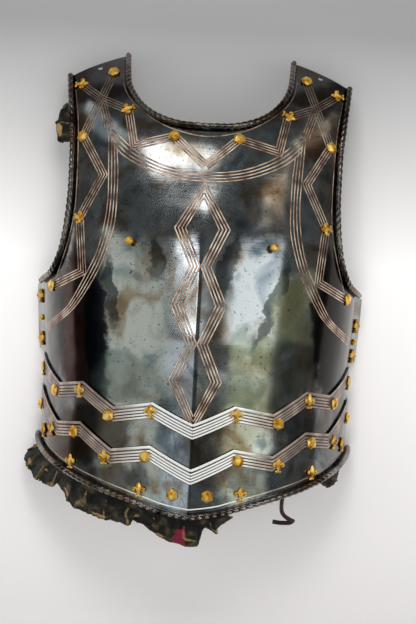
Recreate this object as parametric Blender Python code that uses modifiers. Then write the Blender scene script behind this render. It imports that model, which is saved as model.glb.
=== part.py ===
"""A steel breastplate with two waist lames, lying on its open side.

Units are metres. X runs across the chest, Y up the body towards the neck, and Z out of
the chest. The finished piece stands with the middle of its base at the origin.
"""

import math
from collections import namedtuple

import bmesh
import bpy
from mathutils import Matrix, Vector

# Overall form of the chest
HEIGHT = 0.508
HALF_WIDTH = 0.178
DEPTH = 0.168
ROUNDNESS = 2.2
KEEL_HEIGHT = 0.005
KEEL_WIDTH = 0.030

# Sheet metal
PLATE_WALL = 0.0017
LAME_WALL = 0.0015
STRIP_WALL = 0.0015
SHEET_GAP = 0.0008
LAME_OVERLAP = 0.022

# Turned and rolled borders
BORDER_REACH = 0.0085
BORDER_RISE = 0.0020
BEAD_RADIUS = 0.0033

# Side strips and the edge of the plate above them
STRIP_TOP_Z = 0.045
STRIP_FLARE = 0.0075
PLATE_EDGE_Z = 0.022
STRIP_BEND_Z = 0.020

# Rivets, studs and strap holes
RIVET_GAP = 0.0004
HEX_ACROSS = 0.0124
HEX_HEIGHT = 0.0044
FLEUR_WIDTH = 0.0140
FLEUR_HEIGHT = 0.0172
FLEUR_THICKNESS = 0.0018
DOME_DIAMETER = 0.0070
DOME_HEIGHT = 0.0030
STUD_DIAMETER = 0.0075
STUD_HEIGHT = 0.0095
STRAP_HOLE_DIAMETER = 0.0060

# Remains of the cloth lining
CLOTH_WALL = 0.0020
CLOTH_GAP = 0.0006
CLOTH_TUCK = 0.012
CLOTH_TUCK_SINK = 0.0018
CLOTH_CLEAR = 0.0025
CLOTH_REACH = 0.034
FOLD_DEPTH = 0.0045
STRAP_WIDTH = 0.0048
STRAP_WALL = 0.0014
STRAP_REACH = 0.042

# Cross sections of the chest: up is a share of HEIGHT, depth of DEPTH, width of HALF_WIDTH.
Section = namedtuple("Section", "up depth width")
SECTIONS = (
    Section(0.00, 0.900, 0.935),
    Section(0.12, 0.920, 0.940),
    Section(0.21, 0.945, 0.945),
    Section(0.31, 0.975, 0.957),
    Section(0.40, 1.000, 0.980),
    Section(0.50, 0.995, 0.996),
    Section(0.60, 0.955, 1.000),
    Section(0.69, 0.880, 1.000),
    Section(0.79, 0.775, 1.000),
    Section(0.85, 0.667, 1.010),
    Section(0.91, 0.510, 1.020),
    Section(0.96, 0.330, 1.030),
    Section(1.00, 0.160, 1.040),
)

# Outline of the breast plate. A rung crosses the half plate from its inner border to its
# outer one; turn is 0 at the ridge and 1 where the side meets the table.
Border = namedtuple("Border", "rung up turn")
NECK_RUNG = 0.50
ARMPIT_RUNG = 0.25
INNER_BORDER = (
    Border(0.00, 0.156, 0.000),
    Border(ARMPIT_RUNG, 0.460, 0.000),
    Border(NECK_RUNG, 0.822, 0.000),
    Border(0.58, 0.826, 0.078),
    Border(0.67, 0.838, 0.160),
    Border(0.78, 0.868, 0.251),
    Border(0.89, 0.930, 0.322),
    Border(1.00, 0.997, 0.332),
)
OUTER_BORDER = (
    Border(0.00, 0.285, 0.930),
    Border(ARMPIT_RUNG, 0.480, 0.920),
    Border(0.29, 0.486, 0.846),
    Border(0.34, 0.499, 0.728),
    Border(0.40, 0.532, 0.642),
    Border(0.47, 0.575, 0.595),
    Border(0.55, 0.632, 0.570),
    Border(0.64, 0.695, 0.560),
    Border(0.74, 0.768, 0.564),
    Border(0.86, 0.860, 0.578),
    Border(1.00, 0.950, 0.600),
)

# Zigzag upper edges of the lames and the curved lower rim.
Edge = namedtuple("Edge", "turn up")
UPPER_ZIGZAG = (
    Edge(0.000, 0.205),
    Edge(0.144, 0.246),
    Edge(0.311, 0.232),
    Edge(0.475, 0.281),
    Edge(0.649, 0.274),
    Edge(0.900, 0.332),
    Edge(1.040, 0.334),
)
LOWER_ZIGZAG = (
    Edge(0.000, 0.110),
    Edge(0.146, 0.155),
    Edge(0.313, 0.143),
    Edge(0.479, 0.195),
    Edge(0.647, 0.191),
    Edge(0.883, 0.261),
    Edge(1.040, 0.264),
)
RIM = (
    Edge(0.000, 0.019),
    Edge(0.084, 0.027),
    Edge(0.149, 0.038),
    Edge(0.218, 0.049),
    Edge(0.293, 0.060),
    Edge(0.376, 0.072),
    Edge(0.445, 0.082),
    Edge(0.523, 0.094),
    Edge(0.634, 0.111),
    Edge(0.734, 0.127),
    Edge(0.841, 0.145),
    Edge(0.930, 0.158),
    Edge(1.040, 0.170),
)

# Rivets of one half: across is a share of HALF_WIDTH, up of HEIGHT, and heading is the
# way a fleur points, in degrees from the neck towards the arm.
Rivet = namedtuple("Rivet", "kind across up heading")
PLATE_RIVETS = (
    Rivet("hex", 0.603, 0.955, 0),
    Rivet("hex", 0.764, 0.806, 0),
    Rivet("hex", 0.197, 0.810, 0),
    Rivet("hex", 0.909, 0.482, 0),
    Rivet("fleur", 0.801, 0.925, -80),
    Rivet("fleur", 0.491, 0.868, 120),
    Rivet("fleur", 0.752, 0.629, -95),
    Rivet("stud", 0.424, 0.580, 0),
)
UPPER_LAME_RIVETS = (
    Rivet("fleur", 0.955, 0.298, 0),
    Rivet("hex", 0.857, 0.256, 0),
    Rivet("fleur", 0.694, 0.260, 0),
    Rivet("hex", 0.510, 0.212, 0),
    Rivet("fleur", 0.257, 0.225, 0),
)
LOWER_LAME_RIVETS = (
    Rivet("hex", 0.957, 0.221, 0),
    Rivet("fleur", 0.868, 0.171, 0),
    Rivet("hex", 0.719, 0.172, 0),
    Rivet("fleur", 0.522, 0.123, 0),
    Rivet("hex", 0.277, 0.131, 0),
    Rivet("fleur", 0.925, 0.164, 0),
    Rivet("fleur", 0.733, 0.107, 0),
    Rivet("fleur", 0.304, 0.060, 0),
    Rivet("hex", 0.104, 0.054, 0),
)

# Side strips: where each begins and ends, and its three rivets, as shares of HEIGHT.
StripPlan = namedtuple("StripPlan", "side bottom top rivets")
STRIP_PLANS = (
    StripPlan(-1, 0.342, 0.486, (0.458, 0.411, 0.364)),
    StripPlan(1, 0.342, 0.486, (0.424, 0.389, 0.357)),
)
STRIP_RIVET_KINDS = ("fleur", "dome", "fleur")
STRAP_HOLE_ACROSS = 0.694
STRAP_HOLE_UP = 0.966

# Half outline of a fleur, as shares of its half width and its half height.
Outline = namedtuple("Outline", "across along")
FLEUR_OUTLINE = (
    Outline(0.00, 1.00),
    Outline(0.36, 0.46),
    Outline(0.24, 0.10),
    Outline(0.56, 0.38),
    Outline(0.92, 0.28),
    Outline(0.98, 0.00),
    Outline(0.56, -0.10),
    Outline(0.30, -0.26),
    Outline(0.54, -0.46),
    Outline(0.58, -0.80),
    Outline(0.30, -0.86),
    Outline(0.00, -0.72),
)

# Pieces of torn lining: where each lies along its border, and how far it reaches past it
# and sinks, as shares of CLOTH_REACH.
Tear = namedtuple("Tear", "along reach sink")
RUFFLE_TEARS = (
    Tear(0.00, 0.35, 0.25),
    Tear(0.10, 0.83, 0.35),
    Tear(0.22, 0.86, 0.50),
    Tear(0.33, 0.73, 0.60),
    Tear(0.41, 0.52, 0.55),
    Tear(0.47, 0.80, 0.60),
    Tear(0.58, 0.85, 0.60),
    Tear(0.70, 0.81, 0.60),
    Tear(0.78, 0.69, 0.50),
    Tear(0.86, 0.46, 0.45),
    Tear(0.90, 0.63, 0.50),
    Tear(1.00, 0.80, 0.55),
)
FRONT_TEARS = (
    Tear(0.00, 0.82, 0.45),
    Tear(0.28, 0.78, 0.50),
    Tear(0.40, 0.25, 0.30),
    Tear(0.52, 0.50, 0.35),
    Tear(0.66, 0.42, 0.35),
    Tear(1.00, 0.10, 0.25),
)
RIGHT_TEARS = (
    Tear(0.00, 0.20, 0.15),
    Tear(0.35, 0.36, 0.30),
    Tear(0.70, 0.34, 0.35),
    Tear(1.00, 0.12, 0.30),
)
ARMHOLE_TEARS = (
    Tear(0.00, 0.10, 0.10),
    Tear(0.25, 0.46, 0.12),
    Tear(0.60, 0.54, 0.15),
    Tear(0.85, 0.44, 0.15),
    Tear(1.00, 0.10, 0.10),
)
ClothPlan = namedtuple("ClothPlan", "start end tears folds columns")
RUFFLE_PLAN = ClothPlan(-0.930, -0.0085, RUFFLE_TEARS, 9, 40)
FRONT_PLAN = ClothPlan(-0.005, 0.130, FRONT_TEARS, 2, 12)
RIGHT_PLAN = ClothPlan(0.600, 0.780, RIGHT_TEARS, 2, 12)
ARMHOLE_PLAN = ClothPlan(0.900, 0.775, ARMHOLE_TEARS, 2, 10)

# The thin strap: out past the rim, along the rim and downwards, as shares of STRAP_REACH.
StrapBend = namedtuple("StrapBend", "out along sink")
STRAP_START_TURN = 0.385
STRAP_BENDS = (
    StrapBend(-0.35, 0.00, 0.00),
    StrapBend(0.05, 0.00, 0.02),
    StrapBend(0.35, -0.06, 0.12),
    StrapBend(0.60, -0.03, 0.25),
    StrapBend(0.80, 0.07, 0.34),
    StrapBend(0.97, 0.24, 0.38),
    StrapBend(1.08, 0.38, 0.46),
    StrapBend(1.12, 0.34, 0.60),
    StrapBend(1.06, 0.12, 0.66),
    StrapBend(0.96, -0.10, 0.68),
)


def interpolate(rows, key, value, at):
    """Read a smooth curve through a table, without overshooting its rows."""
    keys = [getattr(row, key) for row in rows]
    values = [getattr(row, value) for row in rows]
    steps = [keys[i + 1] - keys[i] for i in range(len(keys) - 1)]
    rises = [(values[i + 1] - values[i]) / steps[i] for i in range(len(steps))]
    slopes = [rises[0]]
    for before, after in zip(rises, rises[1:]):
        slopes.append(2 * before * after / (before + after) if before * after > 0 else 0.0)
    slopes.append(rises[-1])
    i = 0
    while i < len(steps) - 1 and at > keys[i + 1]:
        i += 1
    if at <= keys[0]:
        return values[0] + slopes[0] * (at - keys[0])
    if at >= keys[-1]:
        return values[-1] + slopes[-1] * (at - keys[-1])
    t = (at - keys[i]) / steps[i]
    start = (2 * t**3 - 3 * t**2 + 1) * values[i] + (t**3 - 2 * t**2 + t) * slopes[i] * steps[i]
    end = (3 * t**2 - 2 * t**3) * values[i + 1] + (t**3 - t**2) * slopes[i + 1] * steps[i]
    return start + end


def straight(rows, key, value, at):
    """Read a table with straight lines between its rows."""
    for first, second in zip(rows, rows[1:]):
        if at <= getattr(second, key) or second is rows[-1]:
            share = (at - getattr(first, key)) / (getattr(second, key) - getattr(first, key))
            return getattr(first, value) * (1 - share) + getattr(second, value) * share


def half_width_at(y):
    return HALF_WIDTH * interpolate(SECTIONS, "up", "width", y / HEIGHT)


def depth_at(y):
    return DEPTH * interpolate(SECTIONS, "up", "depth", y / HEIGHT)


def chest_point(turn, y, stand_off=0.0):
    """A point of the chest form; past a turn of 1 the side goes straight down."""
    angle = min(abs(turn), 1.0) * math.pi / 2
    x = (half_width_at(y) + stand_off) * math.sin(angle) ** (2 / ROUNDNESS)
    z = (depth_at(y) + stand_off) * max(math.cos(angle), 0.0) ** (2 / ROUNDNESS)
    z += KEEL_HEIGHT * math.exp(-x / KEEL_WIDTH) * math.cos(angle)
    z -= max(abs(turn) - 1.0, 0.0) * DEPTH
    return Vector((math.copysign(x, turn), y, z))


def turn_at(across, y, stand_off=0.0):
    """The turn of the point that lies across from the ridge plane at y."""
    share = min(abs(across) / (half_width_at(y) + stand_off), 1.0)
    turn = math.asin(share ** (ROUNDNESS / 2)) / (math.pi / 2)
    return math.copysign(turn, across)


def turn_at_height(z, y):
    """The turn of the point of the side at height z; below the table it passes 1."""
    if z < 0:
        return 1.0 - z / DEPTH
    return math.acos((z / depth_at(y)) ** (ROUNDNESS / 2)) / (math.pi / 2)


def chest_normal(turn, y, stand_off=0.0):
    """The outward direction of the chest form."""
    step_turn = 0.004
    step_y = 0.002
    turn = math.copysign(min(max(abs(turn), step_turn * 2), 1.0 - step_turn * 2), turn)
    across = chest_point(turn + step_turn, y, stand_off) - chest_point(turn - step_turn, y, stand_off)
    along = chest_point(turn, y + step_y, stand_off) - chest_point(turn, y - step_y, stand_off)
    return across.cross(along).normalized()


def new_object(name, data, material, collection):
    piece = bpy.data.objects.new(name, data)
    collection.objects.link(piece)
    data.materials.clear()
    data.materials.append(material)
    return piece


def principled(name, colour, roughness, metallic):
    material = bpy.data.materials.new(name)
    material.use_nodes = True
    shader = material.node_tree.nodes["Principled BSDF"]
    shader.inputs["Base Color"].default_value = (*colour, 1.0)
    shader.inputs["Roughness"].default_value = roughness
    shader.inputs["Metallic"].default_value = metallic
    return material


def grid_sheet(place, columns, rows):
    """An open sheet whose vertex at (u, v), each from 0 to 1, lies at place(u, v)."""
    sheet = bmesh.new()
    bmesh.ops.create_grid(sheet, x_segments=columns, y_segments=rows, size=0.5)
    shares = {}
    for vertex in sheet.verts:
        u = round((vertex.co.x + 0.5) * columns) / columns
        v = round((vertex.co.y + 0.5) * rows) / rows
        shares[vertex] = (u, v)
    for vertex, (u, v) in shares.items():
        vertex.co = place(u, v)
    return sheet, shares


def roll_border(sheet, frames, wall):
    """Turn a border up and roll it over; frames gives (point, out, normal) of each vertex."""
    edges = [edge for edge in sheet.edges
             if edge.is_boundary and edge.verts[0] in frames and edge.verts[1] in frames]
    bead_inside = BEAD_RADIUS - wall
    centre_out = BORDER_REACH - BEAD_RADIUS
    centre_up = BORDER_RISE + bead_inside
    profile = [(centre_out * 0.6, BORDER_RISE * 0.4)]
    for degrees in (-65, 0, 65, 130, 195):
        angle = math.radians(degrees)
        profile.append((centre_out + bead_inside * math.cos(angle),
                        centre_up + bead_inside * math.sin(angle)))
    for out_share, up_share in profile:
        grown = bmesh.ops.extrude_edge_only(sheet, edges=edges)["geom"]
        new_vertices = [item for item in grown if isinstance(item, bmesh.types.BMVert)]
        edges = [item for item in grown if isinstance(item, bmesh.types.BMEdge)
                 and item.is_boundary and all(v in new_vertices for v in item.verts)]
        old_places = {tuple(round(c, 7) for c in v.co): v for v in frames}
        new_frames = {}
        for vertex in new_vertices:
            old = old_places[tuple(round(c, 7) for c in vertex.co)]
            new_frames[vertex] = frames[old]
        for vertex, (point, out, normal) in new_frames.items():
            vertex.co = point + out * out_share + normal * up_share
        frames = new_frames


def sheet_object(name, sheet, outward_at, material, collection, wall, mirrored):
    """Give an open sheet its mirrored half and its wall, on the inner side."""
    face_outwards(sheet, outward_at)
    mesh = bpy.data.meshes.new(name)
    sheet.to_mesh(mesh)
    sheet.free()
    mesh.shade_smooth()
    piece = new_object(name, mesh, material, collection)
    if mirrored:
        mirror = piece.modifiers.new("other_half", "MIRROR")
        mirror.merge_threshold = 0.0001
    solidify = piece.modifiers.new("wall", "SOLIDIFY")
    solidify.thickness = wall
    solidify.offset = -1.0
    solidify.use_even_offset = True
    return piece


def face_outwards(sheet, outward_at):
    """Turn the sheet's faces so that they look the way outward_at does."""
    bmesh.ops.recalc_face_normals(sheet, faces=sheet.faces)
    face = max(sheet.faces, key=lambda f: f.calc_area())
    if face.normal.dot(outward_at(face.calc_center_median())) < 0:
        bmesh.ops.reverse_faces(sheet, faces=sheet.faces)


def out_of_chest(point):
    return chest_normal(turn_at(point.x, point.y), point.y)


def cut(piece, cutter, name):
    boolean = piece.modifiers.new(name, "BOOLEAN")
    boolean.operation = "DIFFERENCE"
    boolean.solver = "EXACT"
    boolean.object = cutter


def make_cutter(name, sheet, collection):
    mesh = bpy.data.meshes.new(name)
    sheet.to_mesh(mesh)
    sheet.free()
    cutter = bpy.data.objects.new(name, mesh)
    collection.objects.link(cutter)
    cutter.hide_render = True
    cutter.display_type = "WIRE"
    return cutter


def border_frame(rows, rung, material_side, stand_off=0.0):
    """Point, outward tangent and normal of a border of the breast plate at a rung."""
    step = 0.004
    before, after = max(rung - step, rows[0].rung), min(rung + step, rows[-1].rung)

    def at(share):
        turn = interpolate(rows, "rung", "turn", share)
        y = HEIGHT * interpolate(rows, "rung", "up", share)
        return turn, y

    turn, y = at(rung)
    normal = chest_normal(turn, y)
    tangent = chest_point(*at(after)) - chest_point(*at(before))
    out = tangent.cross(normal).normalized() * material_side
    return chest_point(turn, y, stand_off), out, normal


def plate_point(u, v):
    """A point of the half plate: u runs from the inner border to the outer one."""
    spread = u ** 1.2
    turn = (interpolate(INNER_BORDER, "rung", "turn", v) * (1 - spread)
            + interpolate(OUTER_BORDER, "rung", "turn", v) * spread)
    up = (interpolate(INNER_BORDER, "rung", "up", v) * (1 - spread)
          + interpolate(OUTER_BORDER, "rung", "up", v) * spread)
    return chest_point(turn, HEIGHT * up)


def make_breast_plate(material, collection, cutters):
    sheet, shares = grid_sheet(plate_point, 12, 24)
    neck_frames = {}
    arm_frames = {}
    for vertex, (u, v) in shares.items():
        if u == 0 and v >= NECK_RUNG - 0.001:
            point, out, normal = border_frame(INNER_BORDER, max(v, NECK_RUNG), -1)
            if v < NECK_RUNG + 0.001:
                normal = Vector((0.0, normal.y, normal.z)).normalized()
                out = Vector((1.0, 0.0, 0.0)).cross(normal) * -1
            neck_frames[vertex] = (point, out, normal)
        if u == 1 and v >= ARMPIT_RUNG - 0.001:
            arm_frames[vertex] = border_frame(OUTER_BORDER, max(v, ARMPIT_RUNG + 0.005), 1)
    roll_border(sheet, neck_frames, PLATE_WALL)
    roll_border(sheet, arm_frames, PLATE_WALL)
    plate = sheet_object("breast_plate", sheet, out_of_chest, material, collection,
                         PLATE_WALL, True)
    for side, label in ((-1, "left"), (1, "right")):
        y = HEIGHT * STRAP_HOLE_UP
        turn = turn_at(side * HALF_WIDTH * STRAP_HOLE_ACROSS, y)
        hole = bmesh.new()
        bmesh.ops.create_cone(hole, cap_ends=True, segments=12, depth=PLATE_WALL * 8,
                              radius1=STRAP_HOLE_DIAMETER / 2, radius2=STRAP_HOLE_DIAMETER / 2)
        cutter = make_cutter("strap_hole_cutter_" + label, hole, cutters)
        cutter.matrix_world = seat_matrix(chest_point(turn, y), chest_normal(turn, y), 0)
        cut(plate, cutter, "strap_hole_" + label)
    return plate


def lame_sheet(top_rows, bottom_up, stand_off, rows):
    """Half of a lame between its zigzag edge and a lower edge."""
    spans = len(top_rows) - 1
    per_span = 3

    def place(u, v):
        position = u * spans
        span = min(int(position), spans - 1)
        share = position - span
        turn = top_rows[span].turn * (1 - share) + top_rows[span + 1].turn * share
        top = straight(top_rows, "turn", "up", turn)
        return chest_point(turn, HEIGHT * (bottom_up(turn) * (1 - v) + top * v), stand_off)

    return grid_sheet(place, spans * per_span, rows)


def make_upper_lame(material, collection, floor_cutter):
    stand_off = SHEET_GAP + LAME_WALL

    def bottom_up(turn):
        return straight(LOWER_ZIGZAG, "turn", "up", turn) - LAME_OVERLAP / HEIGHT

    sheet, _ = lame_sheet(UPPER_ZIGZAG, bottom_up, stand_off, 2)
    lame = sheet_object("lame_upper", sheet, out_of_chest, material, collection, LAME_WALL, True)
    cut(lame, floor_cutter, "flat_end")
    return lame


def rim_frame(turn, stand_off):
    """Point, outward tangent and normal of the lower rim at a turn."""
    step = 0.004
    y = HEIGHT * interpolate(RIM, "turn", "up", abs(turn))
    before = HEIGHT * interpolate(RIM, "turn", "up", abs(turn - step))
    after = HEIGHT * interpolate(RIM, "turn", "up", abs(turn + step))
    normal = chest_normal(turn, y)
    tangent = chest_point(turn + step, after) - chest_point(turn - step, before)
    if turn == 0:
        normal = Vector((0.0, normal.y, normal.z)).normalized()
        tangent = Vector((1.0, 0.0, 0.0))
    out = tangent.cross(normal).normalized()
    return chest_point(turn, y, stand_off), out, normal


def make_lower_lame(material, collection, floor_cutter):
    stand_off = 2 * (SHEET_GAP + LAME_WALL)

    def bottom_up(turn):
        return interpolate(RIM, "turn", "up", turn)

    sheet, shares = lame_sheet(LOWER_ZIGZAG, bottom_up, stand_off, 2)
    frames = {}
    for vertex, (u, v) in shares.items():
        if v == 0:
            turn = abs(turn_at(vertex.co.x, vertex.co.y, stand_off))
            if vertex.co.x < 0.0001:
                turn = 0
            if turn >= 0.995 or vertex.co.z < 0:
                turn = 0.99
            _, out, normal = rim_frame(turn, stand_off)
            frames[vertex] = (vertex.co.copy(), out, normal)
    roll_border(sheet, frames, LAME_WALL)
    lame = sheet_object("lame_lower", sheet, out_of_chest, material, collection, LAME_WALL, True)
    cut(lame, floor_cutter, "flat_end")
    return lame


def strip_point(plan, along, z):
    """A point of a side strip: behind the plate at its top, flared outwards below it."""
    y = HEIGHT * (plan.bottom * (1 - along) + plan.top * along)
    inset = -(PLATE_WALL + SHEET_GAP)
    flare = max(STRIP_BEND_Z - z, 0.0) / STRIP_BEND_Z * (STRIP_FLARE - inset)
    return chest_point(plan.side * turn_at_height(z, y), y, inset + flare)


def make_side_strip(name, plan, material, collection, floor_cutter):
    heights = (-0.12 * STRIP_TOP_Z, PLATE_EDGE_Z * 0.45, STRIP_BEND_Z,
               PLATE_EDGE_Z * 1.5, STRIP_TOP_Z)

    def place(u, v):
        return strip_point(plan, u, heights[round(v * (len(heights) - 1))])

    sheet, _ = grid_sheet(place, 8, len(heights) - 1)
    strip = sheet_object(name, sheet, lambda point: Vector((plan.side, 0, 0)), material,
                         collection, STRIP_WALL, False)
    cut(strip, floor_cutter, "flat_end")
    return strip


def seat_matrix(point, normal, heading):
    """Stand a piece on a surface; its Y looks up the body, turned by heading degrees."""
    forward = Vector((0.0, 1.0, 0.0))
    forward = (forward - normal * forward.dot(normal)).normalized()
    right = forward.cross(normal)
    frame = Matrix((right, forward, normal)).transposed().to_4x4()
    turned = frame @ Matrix.Rotation(math.radians(-heading), 4, "Z")
    return Matrix.Translation(point) @ turned


def hex_mesh():
    """A faceted head: a low hexagon, a bevel, and a smaller turned hexagon under a point."""
    head = bmesh.new()
    radius = HEX_ACROSS / 2 / math.cos(math.pi / 6)
    bmesh.ops.create_cone(head, cap_ends=True, segments=6, radius1=radius, radius2=radius * 0.96,
                          depth=HEX_HEIGHT * 0.35, matrix=Matrix.Translation((0, 0, HEX_HEIGHT * 0.175)))
    top = max(head.faces, key=lambda face: face.calc_center_median().z)
    bmesh.ops.inset_region(head, faces=[top], thickness=radius * 0.28)
    bmesh.ops.translate(head, verts=top.verts, vec=(0, 0, HEX_HEIGHT * 0.40))
    bmesh.ops.inset_region(head, faces=[top], thickness=radius * 0.16)
    bmesh.ops.rotate(head, verts=top.verts, matrix=Matrix.Rotation(math.radians(30), 3, "Z"))
    bmesh.ops.translate(head, verts=top.verts, vec=(0, 0, HEX_HEIGHT * 0.10))
    apex = bmesh.ops.poke(head, faces=[top])["verts"][0]
    apex.co.z = HEX_HEIGHT
    return head


def dome_mesh():
    """A plain round rivet head."""
    dome = bmesh.new()
    bmesh.ops.create_uvsphere(dome, u_segments=12, v_segments=6, radius=DOME_DIAMETER / 2)
    bmesh.ops.bisect_plane(dome, geom=dome.verts[:] + dome.edges[:] + dome.faces[:],
                           plane_co=(0, 0, 0), plane_no=(0, 0, -1), clear_outer=True)
    rim = [edge for edge in dome.edges if edge.is_boundary]
    bmesh.ops.contextual_create(dome, geom=rim)
    bmesh.ops.scale(dome, verts=dome.verts, vec=(1, 1, DOME_HEIGHT / (DOME_DIAMETER / 2)))
    return dome


def stud_mesh():
    """A standing stud: a short neck under a wider rounded knob."""
    stud = bmesh.new()
    rings = ((0.34, 0.00), (0.34, 0.40), (0.50, 0.52), (0.50, 0.80), (0.30, 1.00))
    bmesh.ops.create_circle(stud, cap_ends=True, segments=10, radius=STUD_DIAMETER * rings[0][0])
    top = stud.faces[:]
    for radius, height in rings[1:]:
        grown = bmesh.ops.extrude_face_region(stud, geom=top)["geom"]
        bmesh.ops.delete(stud, geom=[f for f in top if f.is_valid and height > 0.45], context="FACES_ONLY")
        top = [item for item in grown if isinstance(item, bmesh.types.BMFace)]
        for vertex in top[0].verts:
            flat = Vector((vertex.co.x, vertex.co.y, 0)).normalized() * STUD_DIAMETER * radius
            vertex.co = flat + Vector((0, 0, STUD_HEIGHT * height))
    bmesh.ops.recalc_face_normals(stud, faces=stud.faces)
    return stud


def mesh_from(sheet, name):
    bmesh.ops.recalc_face_normals(sheet, faces=sheet.faces)
    mesh = bpy.data.meshes.new(name)
    sheet.to_mesh(mesh)
    sheet.free()
    return mesh


def fleur_curve():
    """A flat fleur cut from sheet, as a filled outline."""
    curve = bpy.data.curves.new("fleur_head", "CURVE")
    curve.dimensions = "2D"
    curve.fill_mode = "BOTH"
    curve.extrude = FLEUR_THICKNESS / 2
    right = [(p.across * FLEUR_WIDTH / 2, p.along * FLEUR_HEIGHT / 2) for p in FLEUR_OUTLINE]
    left = [(-x, y) for x, y in reversed(right[1:-1])]
    spline = curve.splines.new("POLY")
    spline.points.add(len(right) + len(left) - 1)
    for point, (x, y) in zip(spline.points, right + left):
        point.co = (x, y, 0.0, 1.0)
    spline.use_cyclic_u = True
    return curve


def make_rivets(prefix, rivets, stand_off, heads, brass, collection):
    """Set one half's rivets and their mirror twins on a sheet of the chest."""
    counts = {}
    for rivet in rivets:
        counts[rivet.kind] = counts.get(rivet.kind, 0) + 1
        for side, label in ((-1, "left"), (1, "right")):
            y = HEIGHT * rivet.up
            turn = turn_at(side * HALF_WIDTH * rivet.across, y, stand_off)
            normal = chest_normal(turn, y, stand_off)
            lift = RIVET_GAP + (FLEUR_THICKNESS / 2 if rivet.kind == "fleur" else 0.0)
            point = chest_point(turn, y, stand_off) + normal * lift
            name = f"{prefix}_{rivet.kind}_{label}_{counts[rivet.kind]}"
            head = new_object(name, heads[rivet.kind], brass, collection)
            head.matrix_world = seat_matrix(point, normal, side * rivet.heading)


def make_strip_rivets(prefix, plan, heads, brass, collection):
    z = PLATE_EDGE_Z * 0.45
    for number, (kind, up) in enumerate(zip(STRIP_RIVET_KINDS, plan.rivets), 1):
        along = (up - plan.bottom) / (plan.top - plan.bottom)
        point = strip_point(plan, along, z)
        rise = strip_point(plan, along, z * 1.2) - strip_point(plan, along, z * 0.8)
        run = strip_point(plan, along + 0.05, z) - strip_point(plan, along - 0.05, z)
        normal = rise.cross(run).normalized()
        if normal.x * plan.side < 0:
            normal.negate()
        lift = RIVET_GAP + (FLEUR_THICKNESS / 2 if kind == "fleur" else 0.0)
        head = new_object(f"{prefix}_{kind}_{number}", heads[kind], brass, collection)
        head.matrix_world = seat_matrix(point + normal * lift, normal, 0)


def make_cloth(name, plan, frame_at, material, collection):
    """A piece of torn lining: tucked behind a border, past its bead, then out and down."""
    rows = 5
    bead_row = 2
    step = 0.002

    def place(u, v):
        spot = plan.start + (plan.end - plan.start) * u
        point, out, normal = frame_at(spot)
        row = round(v * rows)
        if row <= bead_row:
            past = row / bead_row
            tuck = 1.0 - past
            clear = (BORDER_REACH + CLOTH_CLEAR) * past
            return point + out * (clear - CLOTH_TUCK * tuck) - normal * (CLOTH_TUCK_SINK * tuck**2)
        hang = (row - bead_row) / (rows - bead_row)
        run = frame_at(spot + step)[0] - frame_at(spot - step)[0]
        away = Vector((run.y, -run.x, 0.0)).normalized()
        away *= math.copysign(1.0, away.dot(out))
        reach = CLOTH_REACH * interpolate(plan.tears, "along", "reach", u) * hang
        sink = CLOTH_REACH * interpolate(plan.tears, "along", "sink", u) * hang ** 1.5
        fold = FOLD_DEPTH * hang * (0.5 - 0.5 * math.cos(2 * math.pi * plan.folds * u))
        return (point + out * (BORDER_REACH + CLOTH_CLEAR) + away * reach
                - Vector((0.0, 0.0, sink + fold)))

    sheet, _ = grid_sheet(place, plan.columns, rows)
    return sheet_object(name, sheet, out_of_chest, material, collection, CLOTH_WALL, False)


def behind_rim(turn):
    inside = 2 * SHEET_GAP + LAME_WALL - CLOTH_GAP
    return rim_frame(turn, inside)


def behind_left_armhole(rung):
    point, out, normal = border_frame(OUTER_BORDER, rung, 1, -(PLATE_WALL + CLOTH_GAP))
    flip = Vector((-1.0, 1.0, 1.0))
    return point * flip, out * flip, normal * flip


def make_strap(material, collection):
    """A narrow strap that comes out from behind the rim and doubles back."""
    steps = 20
    point, out, normal = behind_rim(STRAP_START_TURN)
    along = normal.cross(out).normalized()
    if along.x < 0:
        along.negate()
    Stage = namedtuple("Stage", "share out along sink")
    stages = [Stage(i / (len(STRAP_BENDS) - 1), *bend) for i, bend in enumerate(STRAP_BENDS)]

    def centre(share):
        values = [interpolate(stages, "share", column, share) for column in ("out", "along", "sink")]
        return (point + out * STRAP_REACH * values[0] + along * STRAP_REACH * values[1]
                - normal * STRAP_REACH * values[2])

    def place(u, v):
        step = 0.5 / steps
        travel = (centre(min(u + step, 1.0)) - centre(max(u - step, 0.0))).normalized()
        across = travel.cross(normal).normalized()
        return centre(u) + across * STRAP_WIDTH * (v - 0.5)

    sheet, _ = grid_sheet(place, steps, 1)
    return sheet_object("strap_end", sheet, lambda _: normal, material, collection,
                        STRAP_WALL, False)


def centre_on_base(collection):
    """Move the whole piece so that the middle of its base is at the origin."""
    bpy.context.view_layer.update()
    graph = bpy.context.evaluated_depsgraph_get()
    corners = []
    for piece in collection.objects:
        evaluated = piece.evaluated_get(graph)
        mesh = evaluated.to_mesh()
        corners += [piece.matrix_world @ vertex.co for vertex in mesh.vertices]
        evaluated.to_mesh_clear()
    middle_x = (min(c.x for c in corners) + max(c.x for c in corners)) / 2
    middle_y = (min(c.y for c in corners) + max(c.y for c in corners)) / 2
    return Matrix.Translation((-middle_x, -middle_y, 0.0))


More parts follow.
